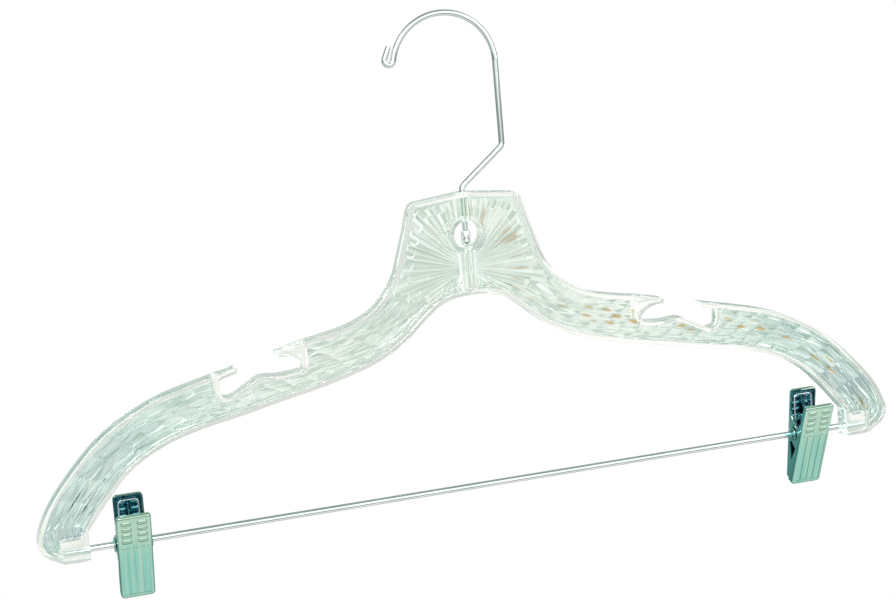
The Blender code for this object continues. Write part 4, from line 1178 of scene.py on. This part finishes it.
def springPath():
    s = spring
    c = clip
    radius = c["earHole"] / math.cos(math.pi / 9) + s["wireRadius"]
    outerX = c["innerHalfWidth"] - c["sheet"] - s["sideGap"] - s["wireRadius"]
    rest = c["sheet"] + s["plateGap"] + s["wireRadius"]
    loopY = plateOut(s["loopHeight"]) - rest
    legY = plateOut(s["legHeight"]) - rest
    leave = math.atan2(s["loopHeight"], loopY) - math.acos(radius / math.hypot(s["loopHeight"], loopY))
    arrive = math.pi + math.acos(radius / math.hypot(s["legHeight"], legY))
    arrive -= math.atan2(s["legHeight"], legY)
    sweep = leave + 2 * math.pi - arrive + 2 * math.pi * s["turns"]
    innerX = outerX - (s["wireRadius"] * 2 + s["turnGap"]) * sweep / (2 * math.pi)
    steps = round(s["pointsPerTurn"] * sweep / (2 * math.pi))
    path = [Vector((innerX, -legY, s["legHeight"]))]
    for k in range(steps + 1):
        angle = arrive + sweep * k / steps
        x = innerX + (outerX - innerX) * k / steps
        path.append(Vector((x, radius * math.cos(angle), radius * math.sin(angle))))
    corner = Vector((outerX, loopY, s["loopHeight"]))
    down = (path[-1] - corner).normalized()
    across = Vector((-1, 0, 0))
    bendCentre = corner + (down + across) * s["corner"]
    for k in range(7):
        angle = math.pi / 2 * k / 6
        path.append(bendCentre - (across * math.cos(angle) + down * math.sin(angle)) * s["corner"])
    return path + [Vector((-point.x, point.y, point.z)) for point in reversed(path)]


def makeSpring(word, inClip):
    piece = wireTube("spring", springPath(), spring["wireRadius"], 4)
    piece.data.transform(inClip)
    finishPiece(piece, word + "Spring", springMaterial, None, word + "_clip_spring", 50)
    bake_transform(piece)


def makeClip(word, side):
    swing = Matrix.Rotation(math.radians(clip["swing"]), 4, "X")
    inClip = Matrix.Translation((side * clip["place"], 0, 0)) @ swing
    makeEyelet(word, side)
    jaws = (("Front", -1, "halfWidth", "_jaw"), ("Rear", 1, "innerHalfWidth", "_clip"))
    for label, facing, width, body in jaws:
        jaw = makeJaw(label + "Jaw", facing, clip[width])
        jaw.data.transform(inClip)
        node = word + "_" + label.lower() + "_jaw"
        finishPiece(jaw, word + label + "Jaw", None, word + body, node, clip["sharpAngle"])
    makeSpring(word, inClip)
    print(word, "clip is made")


makeClip("left", -1)
makeClip("right", 1)

# floor and light

studio = {
    "floorDrop": 0.62, "floorSize": 14.0, "patch": 0.9, "skyPatch": 3.2, "patchRun": (0.36, 0.62),
    "light": (0.95, 0.98, 0.95), "shade": (0.52, 0.62, 0.57), "mirrored": 0.6, "frontRun": (0.1, -0.4),
    "flag": (0.09, 0.13, 0.13), "flagShare": 0.7, "flagPlace": (1.3, 2.6), "flagSide": (0.7, 0.95),
    "litPlace": (0, 0, -0.15),
}
# tones that the metal picks up: along the floor from front to back, and up the sky in front and behind
bright = (1.0, 1.0, 1.0)
pale = (0.95, 0.97, 0.95)
warm = (0.5, 0.5, 0.42)
dim = (0.26, 0.33, 0.31)
dark = (0.07, 0.11, 0.12)
softbox = (1.3, 1.3, 1.3)
floorTones = (
    (-6.0, bright), (-1.3, bright), (-0.95, dark), (-0.5, dark), (-0.38, pale), (-0.09, pale), (0.0, warm),
    (0.3, warm), (0.6, dim), (0.9, dim), (2.0, (0.75, 0.82, 0.8)),
)
frontTones = ((-0.2, bright), (0.0, bright), (0.1, softbox), (0.7, softbox), (0.85, dim), (1.0, dim))
backTones = ((-0.2, (0.45, 0.52, 0.5)), (0.4, (0.36, 0.43, 0.41)), (0.85, dim), (1.0, dim))


def mixSeen(tree, place, patch, tones, edge, kind, out):
    # plain white to the eye; clear plastic looks out on soft pale tones, metal on light and dark bands
    patches = ramp(tree, noise(tree, place, patch), *studio["patchRun"])
    soft = mixColors(tree, patches, studio["shade"], studio["light"])
    # a dark board on each side of the room draws the edges of the upright wire
    aside = ramp(tree, mathNode(tree, "ABSOLUTE", splitAxes(tree, place)["X"]), *edge)
    tones = mixColors(tree, product(tree, aside, studio["flagShare"]), tones, studio["flag"])
    rays = addNode(tree, "LightPath").outputs
    mirrored = mathNode(tree, "GREATER_THAN", rays["Glossy Depth"], 0.5)
    direct = mathNode(tree, "MULTIPLY_ADD", mirrored, -studio["mirrored"], 1.0)
    felt = mixColors(tree, product(tree, rays["Is Transmission Ray"], direct), tones, soft)
    seen = [addNode(tree, kind, Color=color).outputs[0] for color in (felt, bright)]
    mix = addNode(tree, "MixShader")
    for value, socket in zip((rays["Is Camera Ray"], *seen), mix.inputs):
        plug(tree, value, socket)
    plug(tree, mix.outputs[0], out.inputs[0])


def makeFloor():
    bm = bmesh.new()
    bmesh.ops.create_grid(bm, x_segments=8, y_segments=8, size=studio["floorSize"] / 2)
    floor = fromBmesh("floor", bm)
    floor.location = (0, 0, -studio["floorDrop"])
    material, tree, shader, place = newMaterial("paleFloor")
    tree.nodes.remove(shader)
    tones = bands(tree, splitAxes(tree, place)["Y"], floorTones)
    out = tree.nodes["Material Output"]
    mixSeen(tree, place, studio["patch"], tones, studio["flagPlace"], "Emission", out)
    floor.data.materials.append(material)


def makeWorld():
    world = bpy.data.worlds.new("studio")
    world.use_nodes = True
    tree = world.node_tree
    tree.nodes.clear()
    place = addNode(tree, "TexCoord").outputs["Generated"]
    axes = splitAxes(tree, place)
    front = ramp(tree, axes["Y"], *studio["frontRun"])
    tones = mixColors(tree, front, *[bands(tree, axes["Z"], stops) for stops in (backTones, frontTones)])
    out = addNode(tree, "OutputWorld")
    mixSeen(tree, place, studio["skyPatch"], tones, studio["flagSide"], "Background", out)
    bpy.context.scene.world = world


def softLight(name, place, size, power):
    data = bpy.data.lights.new(name, "AREA")
    data.shape = "RECTANGLE"
    data.size, data.size_y = size
    data.energy = power
    light = newObject(name, data)
    light.location = place
    way = Vector(studio["litPlace"]) - Vector(place)
    light.rotation_euler = way.to_track_quat("-Z", "Y").to_euler()


makeFloor()
makeWorld()
softLight("keyLight", (-0.7, -1.2, 0.7), (0.7, 0.7), 9)
softLight("fillLight", (1.2, -0.8, 0.4), (0.6, 1.0), 4)
print("floor and lights are set")
